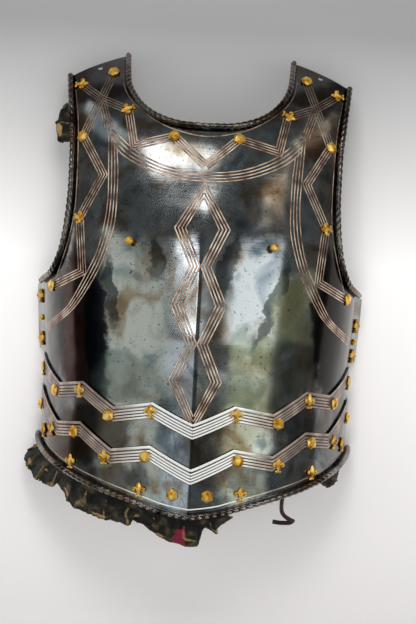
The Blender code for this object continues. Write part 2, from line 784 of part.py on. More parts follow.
def main():
    for piece in list(bpy.data.objects):
        bpy.data.objects.remove(piece, do_unlink=True)
    parts = bpy.data.collections.new("cuirass")
    cutters = bpy.data.collections.new("cutters")
    bpy.context.scene.collection.children.link(parts)
    bpy.context.scene.collection.children.link(cutters)

    steel = principled("dark_polished_steel", (0.16, 0.17, 0.17), 0.16, 1.0)
    brass = principled("gilt_brass", (0.80, 0.52, 0.16), 0.25, 1.0)
    velvet = principled("green_velvet", (0.03, 0.04, 0.03), 0.9, 0.0)
    leather = principled("dark_leather", (0.06, 0.04, 0.03), 0.7, 0.0)

    below = bmesh.new()
    slab = 4 * DEPTH
    bmesh.ops.create_cube(below, size=1.0, matrix=Matrix.Translation((0, HEIGHT / 2, -slab / 2))
                          @ Matrix.Diagonal((HEIGHT * 2, HEIGHT * 2, slab, 1)))
    floor_cutter = make_cutter("floor_cutter", below, cutters)

    make_breast_plate(steel, parts, cutters)
    make_upper_lame(steel, parts, floor_cutter)
    make_lower_lame(steel, parts, floor_cutter)
    make_side_strip("side_strip_left", STRIP_PLANS[0], steel, parts, floor_cutter)
    make_side_strip("side_strip_right", STRIP_PLANS[1], steel, parts, floor_cutter)

    heads = {
        "hex": mesh_from(hex_mesh(), "hex_head"),
        "dome": mesh_from(dome_mesh(), "dome_head"),
        "stud": mesh_from(stud_mesh(), "stud_head"),
        "fleur": fleur_curve(),
    }
    make_rivets("plate", PLATE_RIVETS, 0.0, heads, brass, parts)
    make_rivets("upper", UPPER_LAME_RIVETS, SHEET_GAP + LAME_WALL, heads, brass, parts)
    make_rivets("lower", LOWER_LAME_RIVETS, 2 * (SHEET_GAP + LAME_WALL), heads, brass, parts)
    make_strip_rivets("strip_left", STRIP_PLANS[0], heads, brass, parts)
    make_strip_rivets("strip_right", STRIP_PLANS[1], heads, brass, parts)

    make_cloth("lining_ruffle", RUFFLE_PLAN, behind_rim, velvet, parts)
    make_cloth("lining_front_scrap", FRONT_PLAN, behind_rim, velvet, parts)
    make_cloth("lining_right_scrap", RIGHT_PLAN, behind_rim, velvet, parts)
    make_cloth("lining_armhole_scrap", ARMHOLE_PLAN, behind_left_armhole, velvet, parts)
    make_strap(leather, parts)

    shift = centre_on_base(parts)
    for piece in list(parts.objects) + list(cutters.objects):
        piece.matrix_world = shift @ piece.matrix_world


main()
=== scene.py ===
"""A steel breastplate with roped borders, etched bands of lines and gilt rivet heads,
lying on a pale table with the remains of its velvet lining, seen from straight above."""

import math
from collections import namedtuple

import bpy
from mathutils import Matrix, Vector, noise


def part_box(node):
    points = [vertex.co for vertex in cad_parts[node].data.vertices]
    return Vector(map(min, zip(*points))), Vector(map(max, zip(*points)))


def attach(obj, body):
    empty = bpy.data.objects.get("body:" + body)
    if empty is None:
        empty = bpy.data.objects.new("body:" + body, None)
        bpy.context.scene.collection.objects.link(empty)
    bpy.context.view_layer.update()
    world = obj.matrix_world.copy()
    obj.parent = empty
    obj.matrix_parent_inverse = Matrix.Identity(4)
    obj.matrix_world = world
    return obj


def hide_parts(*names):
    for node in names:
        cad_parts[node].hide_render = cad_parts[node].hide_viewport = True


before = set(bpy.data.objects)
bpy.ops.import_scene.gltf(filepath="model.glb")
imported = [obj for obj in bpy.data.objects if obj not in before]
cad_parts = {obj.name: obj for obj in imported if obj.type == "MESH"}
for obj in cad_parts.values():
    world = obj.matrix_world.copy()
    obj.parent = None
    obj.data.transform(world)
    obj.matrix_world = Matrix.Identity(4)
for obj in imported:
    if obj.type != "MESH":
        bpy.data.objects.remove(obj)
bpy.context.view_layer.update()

# Breastplate: one sheet of steel, hammered to a deep chest form with a low ridge down its
# middle. Its neck and arm edges are turned outwards and rolled over a wire, and the rolls
# are filed to look like rope. Bands of four lines, once gilt, are etched into its surface.
HEIGHT = 0.508
HALF_WIDTH = 0.178
DEPTH = 0.168
ROUNDNESS = 2.2
KEEL_HEIGHT = 0.005
KEEL_WIDTH = 0.030
KEEL_FADE_START = 0.56
KEEL_FADE_SPAN = 0.16
KEEL_ROUNDING = 0.016
COLUMN_CROWDING = 1.2
PLATE_COLUMNS = 64
PLATE_ROWS = 112
PLATE_WALL = 0.0017
BORDER_REACH = 0.0085
BORDER_RISE = 0.0020
BEAD_RADIUS = 0.0033
ROPE_PITCH = 0.0078
ROPE_GROOVE = 0.0009
ROPE_STEP = 0.0006
ROPE_SIDES = 16
STRAP_HOLE_DIAMETER = 0.0060
STRAP_HOLE_ACROSS = 0.694
STRAP_HOLE_UP = 0.966
ETCHED_WIDTH = 0.0011
ETCHED_LIFT = 0.00010
ETCHED_MARGIN = 0.0004
ETCHED_EDGE_LIFT = 0.4
CHANNEL_DIRT_AND_SHADE = 0.85
WELD_DISTANCE = 0.00003
RIDGE_MERGE = 0.0001
SMOOTH_ANGLE = 38

# The channel of sheet between a border and its bead: shares of the way out, and rises.
FLANGE_PROFILE = ((0.0, 0.0), (0.30, -0.0002), (0.60, 0.0001), (0.80, 0.0008),
                  (1.0, BORDER_RISE))


def rows_of(kind, rows):
    return [kind(*row) for row in rows]


# Cross sections of the chest: up is a share of HEIGHT, depth of DEPTH, width of HALF_WIDTH.
Section = namedtuple("Section", "up depth width")
SECTIONS = rows_of(Section, (
    (0.00, 0.900, 0.935), (0.12, 0.920, 0.940), (0.21, 0.945, 0.945), (0.31, 0.975, 0.957),
    (0.40, 1.000, 0.980), (0.50, 0.995, 0.996), (0.60, 0.955, 1.000), (0.69, 0.880, 1.000),
    (0.79, 0.775, 1.000), (0.85, 0.667, 1.010), (0.91, 0.510, 1.020), (0.96, 0.330, 1.030),
    (1.00, 0.160, 1.040)))

# Outline of the breast plate. A rung crosses the half plate from its inner border to its
# outer one; turn is 0 at the ridge and 1 where the side meets the table.
Border = namedtuple("Border", "rung up turn")
NECK_RUNG = 0.50
ARMPIT_RUNG = 0.25
INNER_BORDER = rows_of(Border, (
    (0.00, 0.156, 0.000), (ARMPIT_RUNG, 0.460, 0.000), (NECK_RUNG, 0.822, 0.000),
    (0.58, 0.826, 0.078), (0.67, 0.838, 0.160), (0.78, 0.868, 0.251), (0.89, 0.930, 0.322),
    (1.00, 0.997, 0.332)))
OUTER_BORDER = rows_of(Border, (
    (0.00, 0.285, 0.930), (ARMPIT_RUNG, 0.480, 0.920), (0.29, 0.486, 0.846),
    (0.34, 0.499, 0.728), (0.40, 0.532, 0.642), (0.47, 0.575, 0.595), (0.55, 0.632, 0.570),
    (0.64, 0.695, 0.560), (0.74, 0.768, 0.564), (0.86, 0.860, 0.578), (1.00, 0.950, 0.600)))
ARM_ROPE_START = ARMPIT_RUNG + 0.005

# Etched lines of one half, in metres from the ridge and up from the lower edge's level.
# A band is four lines; each row gives its first and its last line.
Band = namedtuple("Band", "first_x first_y last_x last_y")
NECK_BAND = rows_of(Band, (
    (0.0000, 0.3728, 0.0000, 0.3635), (0.0200, 0.3738, 0.0230, 0.3643),
    (0.0430, 0.3783, 0.0490, 0.3695), (0.0640, 0.3868, 0.0720, 0.3785),
    (0.0800, 0.3965, 0.0870, 0.3870), (0.0930, 0.4080, 0.0960, 0.3945),
    (0.1045, 0.4175, 0.1040, 0.4040)))
ARM_BAND = rows_of(Band, (
    (0.1075, 0.4190, 0.0970, 0.3970), (0.1062, 0.3970, 0.0955, 0.3830),
    (0.1045, 0.3665, 0.0942, 0.3665), (0.1035, 0.3400, 0.0938, 0.3380),
    (0.1060, 0.3120, 0.0950, 0.3120), (0.1120, 0.2845, 0.1020, 0.2840),
    (0.1225, 0.2600, 0.1120, 0.2585), (0.1410, 0.2255, 0.1320, 0.2250),
    (0.1560, 0.2110, 0.1500, 0.2075), (0.1700, 0.2010, 0.1670, 0.1945)))
CENTRE_BAND = rows_of(Band, (
    (0.0004, 0.3617, 0.0004, 0.3450), (0.0295, 0.3119, 0.0180, 0.3119),
    (0.0110, 0.2715, 0.0004, 0.2715), (0.0295, 0.2301, 0.0180, 0.2301),
    (0.0110, 0.1892, 0.0004, 0.1892), (0.0280, 0.1494, 0.0170, 0.1494),
    (0.0004, 0.0960, 0.0004, 0.1120)))

# Zigzags of four lines, given by the corners of their middle, and single lines.
NECK_ZIGZAG = ((0.0000, 0.3800), (0.0350, 0.4115), (0.0785, 0.4000), (0.0870, 0.4400))
ARM_ZIGZAG = ((0.1355, 0.4095), (0.1105, 0.3670), (0.1340, 0.3195), (0.1278, 0.2610),
              (0.1610, 0.2445))
STAR_MIDDLE = (0.1185, 0.4530)
STAR_ENDS = ((0.1070, 0.4850), (0.1426, 0.4700), (0.0870, 0.4400), (0.1360, 0.4095),
             (0.1075, 0.4190))
SINGLE_LINES = (
    ((0.0000, 0.4128), (0.0160, 0.4145), (0.0430, 0.4220), (0.0660, 0.4350),
     (0.0850, 0.4520), (0.0940, 0.4680), (0.0970, 0.4840)),
    ((0.1490, 0.4640), (0.1430, 0.4270), (0.1405, 0.3850), (0.1398, 0.3500),
     (0.1405, 0.3270), (0.1460, 0.2940), (0.1590, 0.2510)),
)
BAND_LINES = 4
ZIGZAG_PITCH = 0.0027


def interpolate(rows, key, value, at):
    """Read a smooth curve through a table, without overshooting its rows."""
    keys = [getattr(row, key) for row in rows]
    values = [getattr(row, value) for row in rows]
    steps = [keys[i + 1] - keys[i] for i in range(len(keys) - 1)]
    rises = [(values[i + 1] - values[i]) / steps[i] for i in range(len(steps))]
    slopes = [rises[0]]
    for before, after in zip(rises, rises[1:]):
        slopes.append(2 * before * after / (before + after) if before * after > 0 else 0.0)
    slopes.append(rises[-1])
    i = 0
    while i < len(steps) - 1 and at > keys[i + 1]:
        i += 1
    if at <= keys[0]:
        return values[0] + slopes[0] * (at - keys[0])
    if at >= keys[-1]:
        return values[-1] + slopes[-1] * (at - keys[-1])
    t = (at - keys[i]) / steps[i]
    start = (2 * t**3 - 3 * t**2 + 1) * values[i] + (t**3 - 2 * t**2 + t) * slopes[i] * steps[i]
    end = (3 * t**2 - 2 * t**3) * values[i + 1] + (t**3 - t**2) * slopes[i + 1] * steps[i]
    return start + end


def straight(rows, key, value, at):
    """Read a table with straight lines between its rows."""
    for first, second in zip(rows, rows[1:]):
        if at <= getattr(second, key) or second is rows[-1]:
            share = (at - getattr(first, key)) / (getattr(second, key) - getattr(first, key))
            return getattr(first, value) * (1 - share) + getattr(second, value) * share


def half_width_at(y):
    return HALF_WIDTH * interpolate(SECTIONS, "up", "width", y / HEIGHT)


def depth_at(y):
    return DEPTH * interpolate(SECTIONS, "up", "depth", y / HEIGHT)


def chest_point(turn, y, stand_off=0.0):
    """A point of the chest form; past a turn of 1 the side goes straight down."""
    angle = min(abs(turn), 1.0) * math.pi / 2
    x = (half_width_at(y) + stand_off) * math.sin(angle) ** (2 / ROUNDNESS)
    z = (depth_at(y) + stand_off) * max(math.cos(angle), 0.0) ** (2 / ROUNDNESS)
    faded = min(max((y / HEIGHT - KEEL_FADE_START) / KEEL_FADE_SPAN, 0.0), 1.0)
    rounded = math.hypot(x, KEEL_ROUNDING * faded)
    z += KEEL_HEIGHT * math.exp(-rounded / KEEL_WIDTH) * math.cos(angle)
    z -= max(abs(turn) - 1.0, 0.0) * DEPTH
    return Vector((math.copysign(x, turn), y, z))


def turn_at(across, y, stand_off=0.0):
    """The turn of the point that lies across from the ridge plane at y."""
    share = min(abs(across) / (half_width_at(y) + stand_off), 1.0)
    turn = math.asin(share ** (ROUNDNESS / 2)) / (math.pi / 2)
    return math.copysign(turn, across)


def chest_normal(turn, y, stand_off=0.0):
    """The outward direction of the chest form."""
    step_turn = 0.004
    step_y = 0.002
    turn = math.copysign(min(max(abs(turn), step_turn * 2), 1.0 - step_turn * 2), turn)
    across = (chest_point(turn + step_turn, y, stand_off)
              - chest_point(turn - step_turn, y, stand_off))
    along = chest_point(turn, y + step_y, stand_off) - chest_point(turn, y - step_y, stand_off)
    return across.cross(along).normalized()


def border_frame(rows, rung, material_side, stand_off=0.0):
    """Point, outward tangent and normal of a border of the breast plate at a rung."""
    step = 0.004
    before, after = max(rung - step, rows[0].rung), min(rung + step, rows[-1].rung)

    def at(share):
        turn = interpolate(rows, "rung", "turn", share)
        y = HEIGHT * interpolate(rows, "rung", "up", share)
        return turn, y

    turn, y = at(rung)
    normal = chest_normal(turn, y)
    tangent = chest_point(*at(after)) - chest_point(*at(before))
    out = tangent.cross(normal).normalized() * material_side
    return chest_point(turn, y, stand_off), out, normal


def plate_point(u, v):
    """A point of the half plate: u runs from the inner border to the outer one."""
    spread = u ** COLUMN_CROWDING
    turn = (interpolate(INNER_BORDER, "rung", "turn", v) * (1 - spread)
            + interpolate(OUTER_BORDER, "rung", "turn", v) * spread)
    up = (interpolate(INNER_BORDER, "rung", "up", v) * (1 - spread)
          + interpolate(OUTER_BORDER, "rung", "up", v) * spread)
    return chest_point(turn, HEIGHT * up)


plate_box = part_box("breast_plate")
SHIFT = Vector(((plate_box[0].x + plate_box[1].x) / 2,
                plate_box[0].y - INNER_BORDER[0].up * HEIGHT, 0.0))


def deselect():
    bpy.ops.object.select_all(action="DESELECT")


def select_only(piece):
    deselect()
    piece.select_set(True)
    bpy.context.view_layer.objects.active = piece


def formed_sheet(name, columns, rows, place):
    """A flat sheet of squares, raised to the shape that place(u, v) gives."""
    deselect()
    bpy.ops.mesh.primitive_grid_add(x_subdivisions=columns, y_subdivisions=rows, size=1)
    piece = bpy.context.object
    piece.name = name
    for vertex in piece.data.vertices:
        u = round((vertex.co.x + 0.5) * columns) / columns
        v = round((vertex.co.y + 0.5) * rows) / rows
        vertex.co = place(u, v)
    return piece


def join(pieces, name):
    """Join objects into the first one, which takes the name."""
    deselect()
    for piece in pieces:
        piece.select_set(True)
    bpy.context.view_layer.objects.active = pieces[0]
    bpy.ops.object.join()
    pieces[0].name = name
    return pieces[0]


def apply_modifiers(piece):
    select_only(piece)
    for modifier in list(piece.modifiers):
        bpy.ops.object.modifier_apply(modifier=modifier.name)


def weld_and_face(piece, outward):
    """Merge doubled points and turn the faces so that the largest one looks outward."""
    select_only(piece)
    bpy.ops.object.mode_set(mode="EDIT")
    bpy.ops.mesh.select_all(action="SELECT")
    bpy.ops.mesh.remove_doubles(threshold=WELD_DISTANCE)
    bpy.ops.mesh.normals_make_consistent(inside=False)
    bpy.ops.object.mode_set(mode="OBJECT")
    largest = max(piece.data.polygons, key=lambda face: face.area)
    if largest.normal.dot(outward(largest.center)) < 0:
        bpy.ops.object.mode_set(mode="EDIT")
        bpy.ops.mesh.flip_normals()
        bpy.ops.object.mode_set(mode="OBJECT")


def add_other_half(piece, outward):
    """Mirror a half piece across the ridge plane, merge it and face it."""
    modifier = piece.modifiers.new("other_half", "MIRROR")
    modifier.merge_threshold = RIDGE_MERGE
    apply_modifiers(piece)
    weld_and_face(piece, outward)


def thicken(piece, wall, even=True):
    modifier = piece.modifiers.new("wall", "SOLIDIFY")
    modifier.thickness = wall
    modifier.offset = -1.0
    modifier.use_even_offset = even
    apply_modifiers(piece)


def out_of_chest(point):
    return chest_normal(turn_at(point.x, point.y), point.y)


def even_frames(frame_at, start, end, step):
    """Border frames at even steps of length, each with the length run so far."""
    spans = 240
    rungs = [start + (end - start) * i / spans for i in range(spans + 1)]
    points = [frame_at(rung)[0] for rung in rungs]
    run = [0.0]
    for first, second in zip(points, points[1:]):
        run.append(run[-1] + (second - first).length)
    count = round(run[-1] / step)
    frames = []
    i = 0
    for k in range(count + 1):
        wanted = run[-1] * k / count
        while i < spans - 1 and run[i + 1] < wanted:
            i += 1
        share = (wanted - run[i]) / (run[i + 1] - run[i])
        frames.append((wanted, *frame_at(rungs[i] + (rungs[i + 1] - rungs[i]) * share)))
    return frames


def rope(name, frame_at, start, end, wall, open_start):
    """A roped bead: pearls along its outer side, slanted strands over its top."""
    frames = even_frames(frame_at, start, end, ROPE_STEP)
    length = frames[-1][0]
    pearl_edge = 42.0
    strand_slant = 0.75
    strand_fullness = 0.6
    seam_depth = ROPE_GROOVE * 0.7
    seam_spread = 13.0
    centre_out = BORDER_REACH - BEAD_RADIUS
    centre_up = BORDER_RISE + BEAD_RADIUS - wall

    def place(u, v):
        run, point, out, normal = frames[round(v * (len(frames) - 1))]
        degrees = u * 360.0 - 90.0
        over = max(degrees - pearl_edge, 0.0) / 90.0
        lobe = abs(math.sin(math.pi * (run / ROPE_PITCH + strand_slant * over)))
        radius = BEAD_RADIUS - ROPE_GROOVE * (1.0 - lobe ** strand_fullness)
        radius -= seam_depth * math.exp(-((degrees - pearl_edge) / seam_spread) ** 2)
        from_end = length - run
        if not open_start:
            from_end = min(from_end, run)
        if from_end < BEAD_RADIUS:
            radius *= math.sqrt(max(1.0 - (1.0 - from_end / BEAD_RADIUS) ** 2, 0.0))
        angle = math.radians(degrees)
        return (point + out * (centre_out + radius * math.cos(angle))
                + normal * (centre_up + radius * math.sin(angle)))

    return formed_sheet(name, ROPE_SIDES, len(frames) - 1, place)


def flange(name, frame_at, rungs):
    """The hollow channel of sheet between a border and its roped bead."""
    columns = len(FLANGE_PROFILE) - 1

    def place(u, v):
        point, out, normal = frame_at(rungs[round(v * (len(rungs) - 1))])
        past, up = FLANGE_PROFILE[round(u * columns)]
        return point + out * (past * (BORDER_REACH - BEAD_RADIUS)) + normal * up

    return formed_sheet(name, columns, len(rungs) - 1, place)


def mark_channel(piece, dirt_and_shade):
    """Note how dark a sheet is painted, for grime and painted shade; a flange's first column still
    belongs to the bright sheet.
    """
    shade = piece.data.attributes.new("channel", "FLOAT", "POINT")
    for index, spot in enumerate(shade.data):
        spot.value = dirt_and_shade if index % len(FLANGE_PROFILE) else 0.0


def neck_frame(rung):
    """As border_frame, with the other half's border beyond the ridge plane."""
    step = 0.015
    at_ridge = 0.001

    def at(share):
        beyond = NECK_RUNG + abs(share - NECK_RUNG)
        point = chest_point(interpolate(INNER_BORDER, "rung", "turn", beyond),
                            HEIGHT * interpolate(INNER_BORDER, "rung", "up", beyond))
        return Vector((math.copysign(point.x, share - NECK_RUNG), point.y, point.z))

    rung = max(rung, NECK_RUNG)
    point = at(rung)
    normal = chest_normal(turn_at(point.x, point.y), point.y)
    if rung < NECK_RUNG + at_ridge:
        point.x = 0.0
        normal = Vector((0.0, normal.y, normal.z)).normalized()
    tangent = at(rung + step) - at(rung - step)
    return point, normal.cross(tangent).normalized(), normal


def arm_frame(rung):
    return border_frame(OUTER_BORDER, max(rung, ARM_ROPE_START), 1)


def plate_surface(x, y):
    turn = turn_at(x, y)
    return chest_point(turn, y), chest_normal(turn, y)


def ways(points):
    """For each point, the way to it and the way on; an end has its only way as both."""
    steps = [second - first for first, second in zip(points, points[1:])]
    return list(zip(steps[:1] + steps, steps + steps[-1:]))


def etched_line(name, places, surface, width=ETCHED_WIDTH, margin=ETCHED_MARGIN):
    """A ribbon just above a surface, through places, with mitred corners and dark margins."""
    step = 0.003
    mitre_limit = 0.4
    offsets = (-width / 2 - margin, -width / 2, width / 2, width / 2 + margin)
    last_column = len(offsets) - 1
    stops = []
    for first, second in zip(places, places[1:]):
        first, second = Vector(first), Vector(second)
        pieces = max(round((second - first).length / step), 1)
        stops += [first.lerp(second, i / pieces) for i in range(pieces)]
    stops.append(Vector(places[-1]))
    seats = [surface(*stop) for stop in stops]
    points = [seat[0] for seat in seats]
    sides = []
    for (before, after), (_, normal) in zip(ways(points), seats):
        across = before.normalized().cross(normal).normalized()
        mitre = (across + after.normalized().cross(normal).normalized()).normalized()
        sides.append(mitre / max(mitre.dot(across), mitre_limit))

    def place(u, v):
        i = round(v * (len(points) - 1))
        lift = ETCHED_LIFT * (ETCHED_EDGE_LIFT if u in (0, 1) else 1.0)
        return points[i] + sides[i] * offsets[round(u * last_column)] + seats[i][1] * lift

    line = formed_sheet(name, last_column, len(points) - 1, place)
    shade = line.data.attributes.new("margin", "FLOAT", "POINT")
    for index, spot in enumerate(shade.data):
        spot.value = 1.0 if index % len(offsets) in (0, last_column) else 0.0
    return line


def smoothed(places, steps=5):
    """A smooth curve through places."""
    ends = [Vector(places[0])] + [Vector(place) for place in places] + [Vector(places[-1])]
    curve = []
    for before, first, second, after in zip(ends, ends[1:], ends[2:], ends[3:]):
        for i in range(steps):
            t = i / steps
            curve.append(0.5 * (2 * first + (second - before) * t
                                + (2 * before - 5 * first + 4 * second - after) * t**2
                                + (3 * first - before - 3 * second + after) * t**3))
    return curve + [Vector(places[-1])]


def band_lines(name, rows, surface, curved):
    """Four lines between a band's first and last one."""
    lines = []
    for k in range(BAND_LINES):
        share = k / (BAND_LINES - 1)
        places = [(row.first_x * (1 - share) + row.last_x * share,
                   row.first_y * (1 - share) + row.last_y * share) for row in rows]
        places = smoothed(places) if curved else places
        lines.append(etched_line(f"{name}_{k}", places, surface))
    return lines


def zigzag_lines(name, corners, surface):
    """Four lines side by side along a zigzag."""
    mitre_limit = 0.5
    corners = [Vector(corner) for corner in corners]
    lines = []
    for k in range(BAND_LINES):
        offset = (k - (BAND_LINES - 1) / 2) * ZIGZAG_PITCH
        places = []
        for corner, (before, after) in zip(corners, ways(corners)):
            first_side = Vector((before.y, -before.x)).normalized()
            second_side = Vector((after.y, -after.x)).normalized()
            mitre = (first_side + second_side).normalized()
            reach = offset / max(mitre.dot(first_side), mitre_limit)
            places.append(corner + mitre * reach)
        lines.append(etched_line(f"{name}_{k}", places, surface))
    return lines


def linear(colour):
    """A colour written as sRGB hex, as the linear values that a shader takes."""
    shares = [int(colour[i:i + 2], 16) / 255 for i in (1, 3, 5)]
    return tuple(s / 12.92 if s <= 0.04045 else ((s + 0.055) / 1.055) ** 2.4
                 for s in shares) + (1.0,)


def connect(tree, made, inputs):
    """Give a node its inputs, which are values or sockets."""
    for socket, value in inputs.items():
        if isinstance(value, bpy.types.NodeSocket):
            tree.links.new(value, made.inputs[socket])
        else:
            made.inputs[socket].default_value = value


def node(tree, kind, inputs=None, stops=None, **settings):
    """Add a node with its inputs and settings; stops are the places of a colour ramp."""
    made = tree.nodes.new(kind)
    for setting, value in settings.items():
        setattr(made, setting, value)
    connect(tree, made, inputs or {})
    if stops:
        ramp = made.color_ramp
        while len(ramp.elements) < len(stops):
            ramp.elements.new(0.5)
        for element, (position, colour) in zip(ramp.elements, stops):
            element.position = position
            element.color = linear(colour)
    return made


def new_material(name):
    material = bpy.data.materials.new(name)
    material.use_nodes = True
    return material, material.node_tree, material.node_tree.nodes["Principled BSDF"]


def coordinate(tree, kind="Object"):
    return node(tree, "ShaderNodeTexCoord").outputs[kind]


def clouds_of(tree, place, size, detail, output="Fac", **inputs):
    """A noise whose clouds are size metres across."""
    return node(tree, "ShaderNodeTexNoise", {"Vector": place, "Scale": 1 / size,
                                             "Detail": detail, **inputs}).outputs[output]


def ramped(tree, share, stops):
    return node(tree, "ShaderNodeValToRGB", {"Fac": share}, stops=stops).outputs["Color"]


def blended(tree, share, under, over, kind="MIX"):
    """One colour with a share of another over it."""
    return node(tree, "ShaderNodeMix", {0: share, 6: under, 7: over}, data_type="RGBA",
                blend_type=kind).outputs[2]


def ranged(tree, value, start, end, low=0.0, high=1.0, kind="LINEAR"):
    """A value's way from start to end, turned into one from low to high."""
    return node(tree, "ShaderNodeMapRange", {"Value": value, 1: start, 2: end, 3: low, 4: high},
                interpolation_type=kind).outputs["Result"]


def noted(tree, name):
    """A number that a mesh notes at its points."""
    return node(tree, "ShaderNodeAttribute", attribute_name=name).outputs["Fac"]


def oval(tree, place, middle, half_sizes, turn=0.0):
    """How far a place is from an oval's middle, which is 1 on the oval's line."""
    seat = node(tree, "ShaderNodeMapping",
                {"Vector": place, "Location": middle, "Scale": half_sizes,
                 "Rotation": (0.0, 0.0, math.radians(turn))}, vector_type="TEXTURE")
    return node(tree, "ShaderNodeVectorMath", {0: seat.outputs["Vector"]},
                operation="LENGTH").outputs["Value"]


def bumped(tree, height, strength, distance, **inputs):
    return node(tree, "ShaderNodeBump", {"Height": height, "Strength": strength,
                                         "Distance": distance, **inputs}).outputs["Normal"]


def in_dark_margins(tree, colour):
    """A line's colour, turned dark over its margins; along a lame's edge strip the dark is a
    painted shadow at the edge.
    """
    margin = ranged(tree, noted(tree, "margin"), 0.10, 0.45)
    return blended(tree, margin, colour, linear("#14110f"))


# Stains on the steel, partly real tarnish and partly painted light: the pale patches paint
# reflections, and the dark patches on the shoulders and far sides paint shade. Middle and half
# sizes in metres from the ridge and up from the lower edge's level, the turn in degrees, the
# colour and how much it covers.
StainAndPaintedLight = namedtuple("StainAndPaintedLight", "x y across along turn colour cover")
STAINS_AND_PAINTED_LIGHT = (
    StainAndPaintedLight(-0.132, 0.205, 0.024, 0.090, 4, "#351a10", 0.92),
    StainAndPaintedLight(-0.108, 0.190, 0.014, 0.080, 4, "#121a26", 0.95),
    StainAndPaintedLight(-0.095, 0.240, 0.007, 0.040, 10, "#10161c", 0.80),
    StainAndPaintedLight(-0.048, 0.278, 0.008, 0.024, 0, "#12181b", 0.70),
    StainAndPaintedLight(0.027, 0.268, 0.009, 0.046, -14, "#333c3d", 0.80),
    StainAndPaintedLight(0.077, 0.225, 0.006, 0.060, -17, "#3d443c", 0.80),
    StainAndPaintedLight(0.044, 0.190, 0.015, 0.022, -20, "#8b938b", 0.85),
    StainAndPaintedLight(0.074, 0.182, 0.016, 0.014, 25, "#858c7a", 0.80),
    StainAndPaintedLight(0.097, 0.225, 0.018, 0.040, -10, "#85866d", 0.80),
    StainAndPaintedLight(0.115, 0.180, 0.016, 0.050, -16, "#6b6850", 0.60),
    StainAndPaintedLight(-0.075, 0.150, 0.036, 0.030, 0, "#6f7d7a", 0.60),
    StainAndPaintedLight(0.070, 0.150, 0.040, 0.030, 0, "#6e7358", 0.55),
    StainAndPaintedLight(0.142, 0.220, 0.019, 0.085, 2, "#15191b", 0.92),
    StainAndPaintedLight(-0.110, 0.425, 0.030, 0.030, 0, "#5a4c42", 0.40),
    StainAndPaintedLight(0.118, 0.410, 0.014, 0.022, 0, "#6b4224", 0.75),
    StainAndPaintedLight(0.060, 0.440, 0.050, 0.020, 0, "#4b453f", 0.40),
    StainAndPaintedLight(0.000, 0.130, 0.050, 0.030, 0, "#5a5a44", 0.40),
    StainAndPaintedLight(-0.115, 0.478, 0.055, 0.030, 15, "#4c4847", 0.85),
    StainAndPaintedLight(0.115, 0.478, 0.055, 0.030, -15, "#4a4745", 0.85),
    StainAndPaintedLight(-0.170, 0.190, 0.026, 0.120, 0, "#343231", 0.90),
    StainAndPaintedLight(0.162, 0.190, 0.036, 0.120, 0, "#2c2a29", 0.92),
)


def worn_steel(name, base, patina, stains_and_painted_light):
    """Old polished steel: bright where worn smooth, brown-grey patina in clouds, hairlines, pits.

    The eye reads it as metal by its sharp, broken reflections; the clouds and stained patches
    tell that it has aged, and fine streaks across the form dull the reflections a little. The
    listed patches also paint reflections and shade into the colour, and the channels beside the
    beads are painted dark, partly grime and partly painted shade.
    """
    ragged_by = (0.030, 0.030, 0.030)
    material, tree, shader = new_material(name)
    place = coordinate(tree)
    drawn = node(tree, "ShaderNodeMapping",
                 {"Vector": place, "Scale": (1.0, 0.5, 1.0)}).outputs["Vector"]
    colour = ramped(tree, clouds_of(tree, drawn, 0.030, 6.0, Roughness=0.62),
                    ((0.36, patina), (0.50, base), (0.70, base)))
    hues = ramped(tree, clouds_of(tree, place, 0.050, 3.0, Distortion=0.8),
                  ((0.34, "#7f97ab"), (0.46, "#ffffff"), (0.54, "#ffffff"), (0.66, "#b8946c")))
    colour = blended(tree, 0.75, colour, hues, "MULTIPLY")
    wander = clouds_of(tree, place, 0.022, 5.0, "Color", Roughness=0.6)
    drift = node(tree, "ShaderNodeVectorMath", {0: wander, 1: (0.5, 0.5, 0.5)},
                 operation="SUBTRACT")
    moved = node(tree, "ShaderNodeVectorMath",
                 {0: drift.outputs["Vector"], 1: ragged_by, 2: place},
                 operation="MULTIPLY_ADD").outputs["Vector"]
    # The listed patches paint tarnish, reflections and shade into the colour.
    for stain_and_light_patch in stains_and_painted_light:
        far = oval(tree, moved, Vector((stain_and_light_patch.x, stain_and_light_patch.y, 0.0)) + SHIFT,
                   (stain_and_light_patch.across, stain_and_light_patch.along, 100.0), stain_and_light_patch.turn)
        cover = ranged(tree, far, 1.15, 0.75, 0.0, stain_and_light_patch.cover, "SMOOTHSTEP")
        colour = blended(tree, cover, colour, linear(stain_and_light_patch.colour))
    # Dark in the channels beside the beads: partly grime, partly painted shade.
    colour = blended(tree, noted(tree, "channel"), colour, linear("#1a1715"))
    pitted = ranged(tree, clouds_of(tree, place, 0.0035, 3.0, Roughness=0.65),
                    0.37, 0.32, 0.0, 0.8)
    colour = blended(tree, pitted, colour, linear("#1d1813"))
    hammered = bumped(tree, clouds_of(tree, place, 0.085, 1.0), 0.8, 0.0045)
    planished = bumped(tree, clouds_of(tree, place, 0.028, 1.0), 0.40, 0.0008, Normal=hammered)
    stretched = node(tree, "ShaderNodeMapping",
                     {"Vector": place, "Scale": (0.35, 9.0, 2.0)}).outputs["Vector"]
    hairlines = clouds_of(tree, stretched, 0.020, 1.0, Roughness=0.6)
    brushed = bumped(tree, hairlines, 0.22, 0.0001, Normal=planished)
    rough = ranged(tree, clouds_of(tree, drawn, 0.030, 1.0), 0.30, 0.70, 0.19, 0.13)
    connect(tree, shader, {"Base Color": colour, "Metallic": 1.0, "Roughness": rough,
                           "Normal": brushed})
    return material


plate_steel = worn_steel("breastplate steel", "#b9bcbb", "#9a958c", STAINS_AND_PAINTED_LIGHT)

rope_steel = worn_steel("roped steel", "#8f8680", "#42362f", ())

